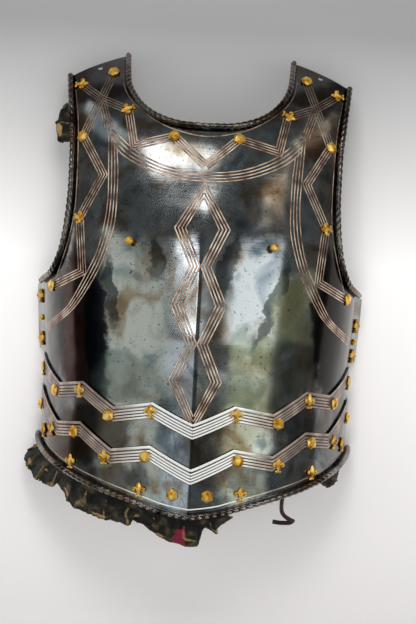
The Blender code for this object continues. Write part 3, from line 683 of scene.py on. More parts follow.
# Etched and gilt line: rough bottom of the etching with worn gilding, so it stays a warm
# dull stripe where the polished steel beside it turns bright or dark.
etched_gilt, tree, shader = new_material("etched gilding")
place = coordinate(tree)
warm = ramped(tree, clouds_of(tree, place, 0.012, 5.0),
              ((0.34, "#75594b"), (0.50, "#bb9f8b"), (0.66, "#e0cfb9")))
# Darker towards the shoulders, above a set height of the plate.
height = node(tree, "ShaderNodeSeparateXYZ", {"Vector": place}).outputs["Y"]
tone_shift = ranged(tree, height, 0.165, 0.215, 0.0, 0.72, "SMOOTHSTEP")
darker_at_shoulders = blended(tree, tone_shift, warm, linear("#37312f"))
etched = bumped(tree, clouds_of(tree, place, 0.0012, 3.0), 0.4, 0.0002)
connect(tree, shader, {"Base Color": in_dark_margins(tree, darker_at_shoulders), "Metallic": 0.55,
                       "Roughness": 0.40, "Normal": etched})

field = formed_sheet("plate_field", PLATE_COLUMNS, PLATE_ROWS, plate_point)
neck_rungs = [i / PLATE_ROWS for i in range(round(NECK_RUNG * PLATE_ROWS), PLATE_ROWS + 1)]
arm_rungs = [i / PLATE_ROWS for i in range(round(ARMPIT_RUNG * PLATE_ROWS), PLATE_ROWS + 1)]
neck_flange = flange("neck_flange", neck_frame, neck_rungs)
arm_flange = flange("arm_flange", arm_frame, arm_rungs)
mark_channel(field, 0.0)
mark_channel(neck_flange, CHANNEL_DIRT_AND_SHADE)
mark_channel(arm_flange, CHANNEL_DIRT_AND_SHADE)
breast_plate = join([field, neck_flange, arm_flange], "breast_plate_fine")
add_other_half(breast_plate, out_of_chest)
thicken(breast_plate, PLATE_WALL)
for side in (-1, 1):
    y = HEIGHT * STRAP_HOLE_UP
    turn = turn_at(side * HALF_WIDTH * STRAP_HOLE_ACROSS, y)
    deselect()
    bpy.ops.mesh.primitive_cylinder_add(vertices=32, radius=STRAP_HOLE_DIAMETER / 2,
                                        depth=PLATE_WALL * 8)
    punch = bpy.context.object
    upright = chest_normal(turn, y).to_track_quat("Z", "Y").to_matrix().to_4x4()
    punch.data.transform(Matrix.Translation(chest_point(turn, y)) @ upright)
    hole = breast_plate.modifiers.new("strap_hole", "BOOLEAN")
    hole.object = punch
    apply_modifiers(breast_plate)
    bpy.data.objects.remove(punch, do_unlink=True)
neck_rope = rope("neck_rope", neck_frame, NECK_RUNG, 1.0, PLATE_WALL, True)
arm_rope = rope("arm_rope", arm_frame, ARM_ROPE_START, 1.0, PLATE_WALL, False)
ropes = join([neck_rope, arm_rope], "plate_ropes")
add_other_half(ropes, lambda point: Vector((0, 0, 1)))
lines = band_lines("neck_band", NECK_BAND, plate_surface, True)
lines += band_lines("arm_band", ARM_BAND, plate_surface, True)
lines += band_lines("centre_band", CENTRE_BAND, plate_surface, False)
lines += zigzag_lines("neck_zigzag", NECK_ZIGZAG, plate_surface)
lines += zigzag_lines("arm_zigzag", ARM_ZIGZAG, plate_surface)
for number, end in enumerate(STAR_ENDS):
    lines += zigzag_lines(f"star_{number}", (STAR_MIDDLE, end), plate_surface)
for number, places in enumerate(SINGLE_LINES):
    lines.append(etched_line(f"single_{number}", smoothed(places), plate_surface))
plate_lines = join(lines, "plate_lines")
add_other_half(plate_lines, out_of_chest)


def dress(piece, material, smooth_below=SMOOTH_ANGLE):
    """Give a piece one material, and shade it smooth except at angles over smooth_below."""
    piece.data.materials.clear()
    piece.data.materials.append(material)
    select_only(piece)
    bpy.ops.object.shade_smooth_by_angle(angle=math.radians(smooth_below))


def hand_over(piece, slot_name, *nodes):
    """Move a finished piece to its place in the row and let it stand for its nodes."""
    piece.data.transform(Matrix.Translation(SHIFT))
    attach(piece, "root")
    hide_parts(*nodes)


dress(breast_plate, plate_steel)
dress(ropes, rope_steel)
dress(plate_lines, etched_gilt)
join([breast_plate, ropes, plate_lines], "breast_plate_fine")
hand_over(breast_plate, "steel", "breast_plate")

# Waist lames: two curved strips of the same steel under the breastplate, the lower one
# over the upper one. Their upper edges are cut in points, with a bright strip along each,
# partly polished edge and partly painted highlight, and four etched lines follow them; the
# lowest edge is rolled and roped like the neck.
LAME_WALL = 0.0015
SHEET_GAP = 0.0008
LAME_OVERLAP = 0.022
LAME_LINES = (0.0058, 0.0090, 0.0122, 0.0154)
LAME_LINE_WIDTH = 0.0015
EDGE_STRIP = 0.0026
LAME_LINE_MARGIN = 0.0008
# The edge strip's dark margins paint the shadow along the lame's edge.
EDGE_STRIP_MARGIN = 0.0003
LINES_END_TURN = 0.985
RIM_LINE = 0.0030
RIM_LINE_STEP = 0.0245
RIM_LINE_POINTS = 41
RIM_DIRT_AND_SHADE = 0.75
LAME_COLUMNS = 24
LAME_ROWS = 36
upper_stand_off = SHEET_GAP + LAME_WALL
lower_stand_off = 2 * (SHEET_GAP + LAME_WALL)

# Zigzag upper edges of the lames and the curved lower rim.
Edge = namedtuple("Edge", "turn up")
UPPER_ZIGZAG = rows_of(Edge, (
    (0.000, 0.205), (0.144, 0.246), (0.311, 0.232), (0.475, 0.281), (0.649, 0.274),
    (0.900, 0.332), (1.040, 0.334)))
LOWER_ZIGZAG = rows_of(Edge, (
    (0.000, 0.110), (0.146, 0.155), (0.313, 0.143), (0.479, 0.195), (0.647, 0.191),
    (0.883, 0.261), (1.040, 0.264)))
RIM = rows_of(Edge, (
    (0.000, 0.019), (0.084, 0.027), (0.149, 0.038), (0.218, 0.049), (0.293, 0.060),
    (0.376, 0.072), (0.445, 0.082), (0.523, 0.094), (0.634, 0.111), (0.734, 0.127),
    (0.841, 0.145), (0.930, 0.158), (1.040, 0.170)))


def lame_field(name, top_rows, bottom_up, stand_off, rows):
    """Half of a lame between its zigzag edge and its lower edge."""
    spans = len(top_rows) - 1

    def place(u, v):
        position = u * spans
        span = min(int(position), spans - 1)
        share = position - span
        turn = top_rows[span].turn * (1 - share) + top_rows[span + 1].turn * share
        top = straight(top_rows, "turn", "up", turn)
        return chest_point(turn, HEIGHT * (bottom_up(turn) * (1 - v) + top * v), stand_off)

    return formed_sheet(name, spans * LAME_COLUMNS, rows, place)


def cut_flat(piece):
    """Cut a piece off flat at height 0, where the table is and where a head has its seat."""
    select_only(piece)
    bpy.ops.object.mode_set(mode="EDIT")
    bpy.ops.mesh.select_all(action="SELECT")
    bpy.ops.mesh.bisect(plane_co=(0, 0, 0), plane_no=(0, 0, 1), clear_inner=True, use_fill=True)
    bpy.ops.object.mode_set(mode="OBJECT")


def lame_surface(stand_off):
    """The seats that etched_line asks for, by the turn and the share of HEIGHT on a lame."""
    def surface(turn, up):
        y = HEIGHT * up
        return chest_point(turn, y, stand_off), chest_normal(turn, y, stand_off)

    return surface


def lame_lines(name, top_rows, stand_off):
    """The bright strip along a lame's zigzag edge, and four lines at LAME_LINES below it."""
    steps = 8
    rows = [(EDGE_STRIP / 2 + EDGE_STRIP_MARGIN, EDGE_STRIP, EDGE_STRIP_MARGIN)]
    rows += [(below, LAME_LINE_WIDTH, LAME_LINE_MARGIN) for below in LAME_LINES]
    lines = []
    for k, (below, width, margin) in enumerate(rows):
        places = []
        for first, second in zip(top_rows, top_rows[1:]):
            for i in range(steps):
                turn = first.turn * (1 - i / steps) + second.turn * (i / steps)
                if turn < LINES_END_TURN:
                    up = straight(top_rows, "turn", "up", turn) - below / HEIGHT
                    places.append((turn, up))
        lines.append(etched_line(f"{name}_{k}", places, lame_surface(stand_off), width, margin))
    return lines


def rim_frame(turn, stand_off):
    """Point, outward tangent and normal of the lower rim at a turn."""
    step = 0.004
    y = HEIGHT * interpolate(RIM, "turn", "up", abs(turn))
    before = HEIGHT * interpolate(RIM, "turn", "up", abs(turn - step))
    after = HEIGHT * interpolate(RIM, "turn", "up", abs(turn + step))
    normal = chest_normal(turn, y)
    tangent = chest_point(turn + step, after) - chest_point(turn - step, before)
    if turn == 0:
        normal = Vector((0.0, normal.y, normal.z)).normalized()
        tangent = Vector((1.0, 0.0, 0.0))
    out = tangent.cross(normal).normalized()
    return chest_point(turn, y, stand_off), out, normal


def upper_bottom(turn):
    return straight(LOWER_ZIGZAG, "turn", "up", turn) - LAME_OVERLAP / HEIGHT


def rim_up(turn):
    return interpolate(RIM, "turn", "up", turn)


def rim_rope_frame(turn):
    return rim_frame(min(turn, LINES_END_TURN), lower_stand_off)


def rim_flange_frame(turn):
    """As rim_rope_frame, but the point goes on to the lame's end."""
    _, out, normal = rim_rope_frame(turn)
    return chest_point(turn, HEIGHT * rim_up(turn), lower_stand_off), out, normal


# Stains on the lames, partly real tarnish and partly painted light: the bluish patch paints a
# reflection, and the patches on the far sides paint shade.
LAME_STAINS_AND_PAINTED_LIGHT = (
    StainAndPaintedLight(-0.056, 0.042, 0.012, 0.018, 10, "#3c5166", 0.60),
    StainAndPaintedLight(-0.112, 0.088, 0.052, 0.036, 20, "#43362b", 0.88),
    StainAndPaintedLight(-0.090, 0.036, 0.040, 0.020, 15, "#3f3834", 0.80),
    StainAndPaintedLight(0.060, 0.050, 0.035, 0.020, -20, "#26292a", 0.60),
    StainAndPaintedLight(0.110, 0.110, 0.030, 0.020, -20, "#3a3026", 0.55),
    StainAndPaintedLight(0.000, 0.070, 0.030, 0.020, 0, "#2f3236", 0.40),
    StainAndPaintedLight(-0.160, 0.110, 0.030, 0.060, 0, "#5a5351", 0.75),
    StainAndPaintedLight(0.160, 0.110, 0.030, 0.060, 0, "#565351", 0.75),
)

# Filed and etched lines of the lames, and the bright strip along each zigzag edge: white near
# the ridge and copper brown towards the ends, partly worn gilding and partly a painted
# highlight across the middle.
lame_etching_and_painted_highlight, tree, shader = new_material("lame etching with painted highlight")
place = coordinate(tree)
across = node(tree, "ShaderNodeSeparateXYZ", {"Vector": place}).outputs["X"]
from_ridge = node(tree, "ShaderNodeMath", {0: across}, operation="ABSOLUTE").outputs["Value"]
copper = ranged(tree, from_ridge, 0.045, 0.085, 0.0, 0.85, "SMOOTHSTEP")
warm = ramped(tree, clouds_of(tree, place, 0.015, 4.0),
              ((0.36, "#6d5548"), (0.56, "#a3897a"), (0.70, "#c9b7a6")))
wear_and_painted_highlight = in_dark_margins(tree, blended(tree, copper, linear("#f6f4f1"), warm))
connect(tree, shader, {"Base Color": wear_and_painted_highlight, "Metallic": 0.6, "Roughness": 0.35})

lame_steel = worn_steel("lame steel", "#b2b6b6", "#807b70", LAME_STAINS_AND_PAINTED_LIGHT)

upper_lame = lame_field("lame_upper_fine", UPPER_ZIGZAG, upper_bottom, upper_stand_off, LAME_ROWS)
add_other_half(upper_lame, out_of_chest)
thicken(upper_lame, LAME_WALL)
cut_flat(upper_lame)
upper_lines = join(lame_lines("upper_line", UPPER_ZIGZAG, upper_stand_off), "upper_lines")
add_other_half(upper_lines, out_of_chest)
dress(upper_lame, lame_steel)
dress(upper_lines, lame_etching_and_painted_highlight)
join([upper_lame, upper_lines], "lame_upper_fine")
hand_over(upper_lame, "steel", "lame_upper")

lower_lame = lame_field("lame_lower_fine", LOWER_ZIGZAG, rim_up, lower_stand_off, LAME_ROWS)
rim_columns = LAME_COLUMNS * (len(LOWER_ZIGZAG) - 1)
rim_turns = []
for i in range(rim_columns + 1):
    span = min(i // LAME_COLUMNS, len(LOWER_ZIGZAG) - 2)
    share = i / LAME_COLUMNS - span
    rim_turns.append(LOWER_ZIGZAG[span].turn * (1 - share) + LOWER_ZIGZAG[span + 1].turn * share)
rim_flange = flange("rim_flange", rim_flange_frame, rim_turns)
mark_channel(lower_lame, 0.0)
mark_channel(rim_flange, RIM_DIRT_AND_SHADE)
join([lower_lame, rim_flange], "lame_lower_fine")
add_other_half(lower_lame, out_of_chest)
thicken(lower_lame, LAME_WALL)
cut_flat(lower_lame)
rim_rope = rope("rim_rope", rim_rope_frame, 0.0, LINES_END_TURN, LAME_WALL, True)
add_other_half(rim_rope, lambda point: Vector((0, 0, 1)))
lower_lines = lame_lines("lower_line", LOWER_ZIGZAG, lower_stand_off)
rim_places = [(turn, rim_up(turn) + RIM_LINE / HEIGHT)
              for turn in [i * RIM_LINE_STEP for i in range(RIM_LINE_POINTS)]]
lower_lines.append(etched_line("rim_line", rim_places, lame_surface(lower_stand_off)))
lower_lines = join(lower_lines, "lower_lines")
add_other_half(lower_lines, out_of_chest)
dress(lower_lame, lame_steel)
dress(rim_rope, rope_steel)
dress(lower_lines, lame_etching_and_painted_highlight)
join([lower_lame, rim_rope, lower_lines], "lame_lower_fine")
hand_over(lower_lame, "steel", "lame_lower")

# Side strips: narrow pieces of the same steel, riveted behind the side edges at the armpits
# and bent outwards below them.
STRIP_WALL = 0.0015
STRIP_TOP_Z = 0.045
STRIP_FLARE = 0.0075
PLATE_EDGE_Z = 0.022
STRIP_BEND_Z = 0.020
STRIP_LOW_Z = -0.12 * STRIP_TOP_Z
STRIP_RIVET_Z = PLATE_EDGE_Z * 0.45
STRIP_COLUMNS = 40
STRIP_ROWS = 24
StripPlan = namedtuple("StripPlan", "side bottom top rivets")
STRIP_PLANS = (
    StripPlan(-1, 0.342, 0.486, (0.458, 0.411, 0.364)),
    StripPlan(1, 0.342, 0.486, (0.424, 0.389, 0.357)),
)
STRIP_RIVET_KINDS = ("fleur", "dome", "fleur")


def turn_at_height(z, y):
    """The turn of the point of the side at height z; below the table it passes 1."""
    if z < 0:
        return 1.0 - z / DEPTH
    return math.acos((z / depth_at(y)) ** (ROUNDNESS / 2)) / (math.pi / 2)


def strip_point(plan, along, z):
    """A point of a side strip: behind the plate at its top, flared outwards below it."""
    y = HEIGHT * (plan.bottom * (1 - along) + plan.top * along)
    inset = -(PLATE_WALL + SHEET_GAP)
    flare = max(STRIP_BEND_Z - z, 0.0) / STRIP_BEND_Z * (STRIP_FLARE - inset)
    return chest_point(plan.side * turn_at_height(z, y), y, inset + flare)


for plan, label in zip(STRIP_PLANS, ("left", "right")):
    strip = formed_sheet(f"side_strip_{label}_fine", STRIP_COLUMNS, STRIP_ROWS,
                         lambda u, v: strip_point(
                             plan, u, STRIP_LOW_Z + (STRIP_TOP_Z - STRIP_LOW_Z) * v))
    weld_and_face(strip, lambda point: Vector((plan.side, 0.0, 0.0)))
    thicken(strip, STRIP_WALL)
    cut_flat(strip)
    dress(strip, lame_steel)
    hand_over(strip, "steel", f"side_strip_{label}")

# Rivet heads: cast in brass and gilt, set from outside. The hexagons are faceted like cut
# stones, the fleurs-de-lis are small castings with a leaf, two curled petals and two balls,
# and the tall studs have a round knob on a neck.
RIVET_GAP = 0.0004
HEX_ACROSS = 0.0124
HEX_HEIGHT = 0.0044
HEX_RIM = 0.2
HEX_WORN_EDGE = 0.00016
FACET_ANGLE = 8
# A twenty-sided ball that stands on a facet, as shares of its radius: how far out and how far
# below its middle its outline's corners are, and how high its top facet is above them.
BALL_OUTLINE = 0.982
BALL_OUTLINE_DROP = 0.188
BALL_CAP = 0.983
FLEUR_WIDTH = 0.0140
FLEUR_HEIGHT = 0.0172
FLEUR_THICKNESS = 0.0018
DOME_DIAMETER = 0.0070
DOME_HEIGHT = 0.0030
STUD_DIAMETER = 0.0075
STUD_HEIGHT = 0.0095
STUD_RINGS = ((0.30, 0.00), (0.30, 0.38), (0.48, 0.45), (0.60, 0.57), (0.60, 0.74), (0.48, 0.90),
              (0.26, 1.00))

# Rivets of one half: across is a share of HALF_WIDTH, up of HEIGHT, and heading is the
# way a fleur points, in degrees from the neck towards the arm.
Rivet = namedtuple("Rivet", "kind across up heading")
PLATE_RIVETS = (
    Rivet("hex", 0.603, 0.955, 0),
    Rivet("hex", 0.764, 0.806, 0),
    Rivet("hex", 0.197, 0.810, 0),
    Rivet("hex", 0.909, 0.482, 0),
    Rivet("fleur", 0.801, 0.925, -80),
    Rivet("fleur", 0.491, 0.868, 120),
    Rivet("fleur", 0.752, 0.629, -95),
    Rivet("stud", 0.424, 0.580, 0),
)
UPPER_LAME_RIVETS = (
    Rivet("fleur", 0.955, 0.298, 0),
    Rivet("hex", 0.857, 0.256, 0),
    Rivet("fleur", 0.694, 0.260, 0),
    Rivet("hex", 0.510, 0.212, 0),
    Rivet("fleur", 0.257, 0.225, 0),
)
LOWER_LAME_RIVETS = (
    Rivet("hex", 0.957, 0.221, 0),
    Rivet("fleur", 0.868, 0.171, 0),
    Rivet("hex", 0.719, 0.172, 0),
    Rivet("fleur", 0.522, 0.123, 0),
    Rivet("hex", 0.277, 0.131, 0),
    Rivet("fleur", 0.925, 0.164, 0),
    Rivet("fleur", 0.733, 0.107, 0),
    Rivet("fleur", 0.304, 0.060, 0),
    Rivet("hex", 0.104, 0.054, 0),
)


def seat_matrix(point, normal, heading):
    """Stand a piece on a surface; its Y looks up the body, turned by heading degrees."""
    forward = Vector((0.0, 1.0, 0.0))
    forward = (forward - normal * forward.dot(normal)).normalized()
    right = forward.cross(normal)
    seat = Matrix((right, forward, normal)).transposed().to_4x4()
    return Matrix.Translation(point) @ seat @ Matrix.Rotation(math.radians(-heading), 4, "Z")


def hex_head():
    """A faceted head: the cap of a twenty-sided ball with one facet upmost, on a low rim."""
    radius = HEX_ACROSS / 2 / math.cos(math.pi / 6) / BALL_OUTLINE
    deselect()
    bpy.ops.mesh.primitive_ico_sphere_add(subdivisions=1, radius=radius)
    head = bpy.context.object
    facet = max(head.data.polygons, key=lambda face: face.center.z)
    upright = facet.normal.rotation_difference(Vector((0.0, 0.0, 1.0)))
    head.data.transform(upright.to_matrix().to_4x4())
    corner = max(head.data.vertices, key=lambda vertex: vertex.co.xy.length).co
    head.data.transform(Matrix.Rotation(math.pi / 2 - math.atan2(corner.y, corner.x), 4, "Z"))
    squash = HEX_HEIGHT * (1.0 - HEX_RIM) / (BALL_CAP * radius)
    lift = HEX_HEIGHT * HEX_RIM + BALL_OUTLINE_DROP * radius * squash
    head.data.transform(Matrix.Translation((0.0, 0.0, lift))
                        @ Matrix.Diagonal((1.0, 1.0, squash, 1.0)))
    cut_flat(head)
    soft = head.modifiers.new("worn_edges", "BEVEL")
    soft.width = HEX_WORN_EDGE
    soft.segments = 1
    apply_modifiers(head)
    return head


def ball(radius, place, stretch=(1.0, 1.0, 1.0)):
    deselect()
    bpy.ops.mesh.primitive_uv_sphere_add(segments=16, ring_count=8, radius=radius)
    piece = bpy.context.object
    piece.data.transform(Matrix.Translation(place) @ Matrix.Diagonal((*stretch, 1.0)))
    return piece


def petal(side):
    """A side petal: a tapering rod that rises from the band, bends out and curls in."""
    curve = bpy.data.curves.new("petal", "CURVE")
    curve.dimensions = "3D"
    curve.bevel_depth = FLEUR_WIDTH * 0.085
    curve.bevel_resolution = 3
    curve.use_fill_caps = True
    spline = curve.splines.new("NURBS")
    path = ((0.10, -0.34, 0.7), (0.16, -0.06, 0.9), (0.34, 0.20, 1.2), (0.62, 0.34, 1.35),
            (0.86, 0.22, 1.2), (0.88, -0.02, 1.1), (0.66, -0.10, 1.0), (0.60, 0.04, 0.9))
    spline.points.add(len(path) - 1)
    for point, (across, along, radius) in zip(spline.points, path):
        point.co = (side * across * FLEUR_WIDTH / 2, along * FLEUR_HEIGHT / 2, 0.0006, 1.0)
        point.radius = radius
    spline.use_endpoint_u = True
    spline.order_u = 4
    piece = bpy.data.objects.new("petal", curve)
    bpy.context.scene.collection.objects.link(piece)
    select_only(piece)
    bpy.ops.object.convert(target="MESH")
    return bpy.context.object


def fleur_head():
    """A cast fleur-de-lis: pointed leaf with a ridge, curled petals, a band and two balls.

    Places are shares of half its width and height; thicknesses and small parts in metres.
    """
    leaf = ball(1.0, (0, 0, 0))
    for vertex in leaf.data.vertices:
        x, y, z = vertex.co
        taper = 1.0 - 0.55 * max(y, 0.0) ** 1.5 - 0.50 * max(-y, 0.0)
        vertex.co = (x * FLEUR_WIDTH * 0.25 * taper, (0.30 + y * 0.72) * FLEUR_HEIGHT / 2,
                     z * 0.0024 * (1.0 - 0.4 * min(abs(x) * 2.2, 1.0)))
    band = ball(1.0, (0, -0.34 * FLEUR_HEIGHT / 2, 0.0005), (0.0028, 0.0010, 0.0016))
    tail = ball(1.0, (0, -0.62 * FLEUR_HEIGHT / 2, 0.0), (0.0014, 0.0025, 0.0013))
    balls = [ball(0.0015, (side * 0.34 * FLEUR_WIDTH / 2, -0.72 * FLEUR_HEIGHT / 2, 0.0003))
             for side in (-1, 1)]
    return join([leaf, petal(-1), petal(1), band, tail] + balls, "fleur_head")


def dome_head():
    head = ball(DOME_DIAMETER / 2, (0, 0, 0), (1.0, 1.0, DOME_HEIGHT * 2 / DOME_DIAMETER))
    cut_flat(head)
    return head


def stud_head():
    """A short neck under a wider rounded knob."""
    deselect()
    bpy.ops.mesh.primitive_circle_add(vertices=24, radius=STUD_DIAMETER * STUD_RINGS[0][0],
                                      fill_type="NGON")
    head = bpy.context.object
    bpy.ops.object.mode_set(mode="EDIT")
    bpy.ops.mesh.select_all(action="SELECT")
    for (radius, height), (next_radius, next_height) in zip(STUD_RINGS, STUD_RINGS[1:]):
        bpy.ops.mesh.extrude_region_move(
            TRANSFORM_OT_translate={"value": (0, 0, STUD_HEIGHT * (next_height - height))})
        grow = next_radius / radius
        bpy.ops.transform.resize(value=(grow, grow, 1.0))
    bpy.ops.mesh.select_all(action="SELECT")
    bpy.ops.mesh.normals_make_consistent(inside=False)
    bpy.ops.object.mode_set(mode="OBJECT")
    return head


# Gilt brass: bright warm metal on the raised faces, worn gilding in patches, and brown in the
# hollows by ambient occlusion, partly grime and partly painted shade, so that each small head
# glints on one side and stays dark on the other.
gilt, tree, shader = new_material("gilt brass")
place = coordinate(tree)
gold = ramped(tree, clouds_of(tree, place, 0.006, 4.0),
              ((0.33, "#b3701f"), (0.44, "#f3ac35"), (0.58, "#ffdb7c")))
hollows = node(tree, "ShaderNodeAmbientOcclusion", {"Distance": 0.003}, samples=4).outputs["AO"]
# Brown in the hollows: partly grime, partly painted shade.
gold_grime_and_painted_shade = blended(tree, ranged(tree, hollows, 0.30, 0.72), linear("#3a200c"), gold)
cast = bumped(tree, clouds_of(tree, place, 0.0015, 2.0), 0.35, 0.0002)
connect(tree, shader, {"Base Color": gold_grime_and_painted_shade, "Metallic": 0.8, "Roughness": 0.33,
                       "Normal": cast})

heads = {"hex": hex_head(), "fleur": fleur_head(), "dome": dome_head(), "stud": stud_head()}
for kind, head in heads.items():
    dress(head, gilt, FACET_ANGLE if kind == "hex" else SMOOTH_ANGLE)


def set_head(kind, node_name, point, normal, heading):
    """Copy a head, set it on its seat and let it stand for its node."""
    lift = RIVET_GAP + (FLEUR_THICKNESS / 2 if kind == "fleur" else 0.0)
    head = bpy.data.objects.new(node_name + "_fine", heads[kind].data.copy())
    bpy.context.scene.collection.objects.link(head)
    head.data.transform(seat_matrix(point + normal * lift, normal, heading))
    hand_over(head, "brass", node_name)


for prefix, rivets, stand_off in (("plate", PLATE_RIVETS, 0.0),
                                  ("upper", UPPER_LAME_RIVETS, upper_stand_off),
                                  ("lower", LOWER_LAME_RIVETS, lower_stand_off)):
    counts = {}
    for rivet in rivets:
        counts[rivet.kind] = counts.get(rivet.kind, 0) + 1
        for side, label in ((-1, "left"), (1, "right")):
            y = HEIGHT * rivet.up
            turn = turn_at(side * HALF_WIDTH * rivet.across, y, stand_off)
            set_head(rivet.kind, f"{prefix}_{rivet.kind}_{label}_{counts[rivet.kind]}",
                     chest_point(turn, y, stand_off), chest_normal(turn, y, stand_off),
                     side * rivet.heading)
for plan, label in zip(STRIP_PLANS, ("left", "right")):
    z = STRIP_RIVET_Z
    for number, (kind, up) in enumerate(zip(STRIP_RIVET_KINDS, plan.rivets), 1):
        along = (up - plan.bottom) / (plan.top - plan.bottom)
        rise = strip_point(plan, along, z * 1.2) - strip_point(plan, along, z * 0.8)
        run = strip_point(plan, along + 0.05, z) - strip_point(plan, along - 0.05, z)
        normal = rise.cross(run).normalized()
        if normal.x * plan.side < 0:
            normal.negate()
        set_head(kind, f"strip_{label}_{kind}_{number}", strip_point(plan, along, z), normal, 0)
for head in heads.values():
    bpy.data.objects.remove(head, do_unlink=True)

# Lining: the last torn pieces of a dark velvet, held behind the edges. It shows below the
# lower roll as a crumpled ruffle, tan where worn to the weave and crimson in one patch, with
# smaller scraps at the middle, low on the right and at the left arm.
CLOTH_WALL = 0.0012
CLOTH_GAP = 0.0006
CLOTH_TUCK = 0.012
CLOTH_TUCK_SINK = 0.0018
CLOTH_CLEAR = 0.0025
CLOTH_REACH = 0.034
CLOTH_BEAD_SHARE = 0.4
FOLD_DEPTH = 0.0100
FOLD_SWAY = 0.0045
CRUMPLE_DEPTH = 0.0030

# Pieces of torn lining: where each lies along its border, and how far it reaches past it
# and sinks, as shares of CLOTH_REACH.
Tear = namedtuple("Tear", "along reach sink")
RUFFLE_TEARS = rows_of(Tear, (
    (0.00, 0.35, 0.25), (0.10, 0.83, 0.35), (0.22, 0.86, 0.50), (0.33, 0.73, 0.60),
    (0.41, 0.52, 0.55), (0.47, 0.80, 0.60), (0.58, 0.85, 0.60), (0.70, 0.81, 0.60),
    (0.78, 0.69, 0.50), (0.86, 0.46, 0.45), (0.90, 0.63, 0.50), (1.00, 0.80, 0.55)))
FRONT_TEARS = rows_of(Tear, (
    (0.00, 0.82, 0.45), (0.28, 0.78, 0.50), (0.40, 0.25, 0.30), (0.52, 0.50, 0.35),
    (0.66, 0.42, 0.35), (1.00, 0.10, 0.25)))
RIGHT_TEARS = rows_of(Tear, (
    (0.00, 0.20, 0.15), (0.35, 0.36, 0.30), (0.70, 0.34, 0.35), (1.00, 0.12, 0.30)))
ARMHOLE_TEARS = rows_of(Tear, (
    (0.00, 0.10, 0.10), (0.25, 0.46, 0.12), (0.60, 0.54, 0.15), (0.85, 0.44, 0.15),
    (1.00, 0.10, 0.10)))
ClothPlan = namedtuple("ClothPlan", "start end tears folds columns")

# What each piece was cut to, from its facts and not from its mesh: the border's length, taken
# up by folds FOLD_DEPTH deep, by the tuck, the way past the bead and the hang.
Cut = namedtuple("Cut", "width length area")
RUFFLE_FLAT = Cut(0.315, 0.058, 0.01691)
FRONT_FLAT = Cut(0.061, 0.055, 0.00268)
RIGHT_FLAT = Cut(0.063, 0.04, 0.00235)
ARMHOLE_FLAT = Cut(0.068, 0.042, 0.00259)
RUFFLE_PLAN = ClothPlan(-0.930, -0.0052, RUFFLE_TEARS, 9, 40)
FRONT_PLAN = ClothPlan(-0.005, 0.130, FRONT_TEARS, 2, 12)
RIGHT_PLAN = ClothPlan(0.600, 0.780, RIGHT_TEARS, 2, 12)
ARMHOLE_PLAN = ClothPlan(0.900, 0.775, ARMHOLE_TEARS, 2, 10)


def behind_rim(turn):
    return rim_frame(turn, 2 * SHEET_GAP + LAME_WALL - CLOTH_GAP)


def behind_left_armhole(rung):
    point, out, normal = border_frame(OUTER_BORDER, rung, 1, -(PLATE_WALL + CLOTH_GAP))
    flip = Vector((-1.0, 1.0, 1.0))
    return point * flip, out * flip, normal * flip


def fold_angle(plan, u, hang):
    """Where a place is in its fold, from crest to crest; folds lean as they hang."""
    lean = 0.35 * noise.noise(Vector((u * plan.folds * 2.0, hang * 1.5, 7.0)))
    return 2 * math.pi * (plan.folds * u + lean * hang)


def torn_cloth(name, plan, frame_at, across_cells, along_cells):
    """A piece of torn lining: tucked behind a border, past its bead, then out and down."""
    step = 0.002
    crest_start = 0.15
    crest_sharpness = 14

    def place(u, v):
        spot = plan.start + (plan.end - plan.start) * u
        point, out, normal = frame_at(spot)
        if v <= CLOTH_BEAD_SHARE:
            past = v / CLOTH_BEAD_SHARE
            tuck = 1.0 - past
            clear = (BORDER_REACH + CLOTH_CLEAR) * past
            return point + out * (clear - CLOTH_TUCK * tuck) - normal * (CLOTH_TUCK_SINK * tuck**2)
        hang = (v - CLOTH_BEAD_SHARE) / (1.0 - CLOTH_BEAD_SHARE)
        run = frame_at(spot + step)[0] - frame_at(spot - step)[0]
        away = Vector((run.y, -run.x, 0.0)).normalized()
        away *= math.copysign(1.0, away.dot(out))
        tear = noise.noise(Vector((u * plan.columns * 1.1, 0.0, plan.folds)))
        tear += 0.5 * noise.noise(Vector((u * plan.columns * 3.1, 4.0, plan.folds)))
        reach = CLOTH_REACH * interpolate(plan.tears, "along", "reach", u) * hang
        reach *= 1.0 + 0.10 * tear * hang
        sink = CLOTH_REACH * interpolate(plan.tears, "along", "sink", u) * hang ** 1.5
        sway = FOLD_SWAY * hang * math.sin(2 * math.pi * plan.folds * u + 1.1)
        wave = 0.5 - 0.5 * math.cos(fold_angle(plan, u, hang))
        depth = 0.55 + 0.9 * abs(noise.noise(Vector((u * plan.folds * 0.9, 2.0, 3.0))))
        fold = FOLD_DEPTH * hang ** 0.6 * wave * depth
        crumple = CRUMPLE_DEPTH * hang * noise.fractal(
            Vector((u * plan.columns * 0.55, hang * 2.2, 1.0)), 0.8, 2.0, 4)
        return (point + out * (BORDER_REACH + CLOTH_CLEAR) + away * reach
                + run.normalized() * sway - Vector((0.0, 0.0, sink + fold - crumple)))

    cloth = formed_sheet(name, across_cells, along_cells, place)
    crest = cloth.data.attributes.new("crest", "FLOAT", "POINT")
    for index, spot in enumerate(crest.data):
        u = index % (across_cells + 1) / across_cells
        v = index // (across_cells + 1) / along_cells
        hang = (v - CLOTH_BEAD_SHARE) / (1.0 - CLOTH_BEAD_SHARE)
        if hang > crest_start:
            spot.value = max(0.0, math.cos(fold_angle(plan, u, hang))) ** crest_sharpness
    weld_and_face(cloth, lambda point: Vector((0.0, 0.0, 1.0)))
    thicken(cloth, CLOTH_WALL, even=False)
    return cloth


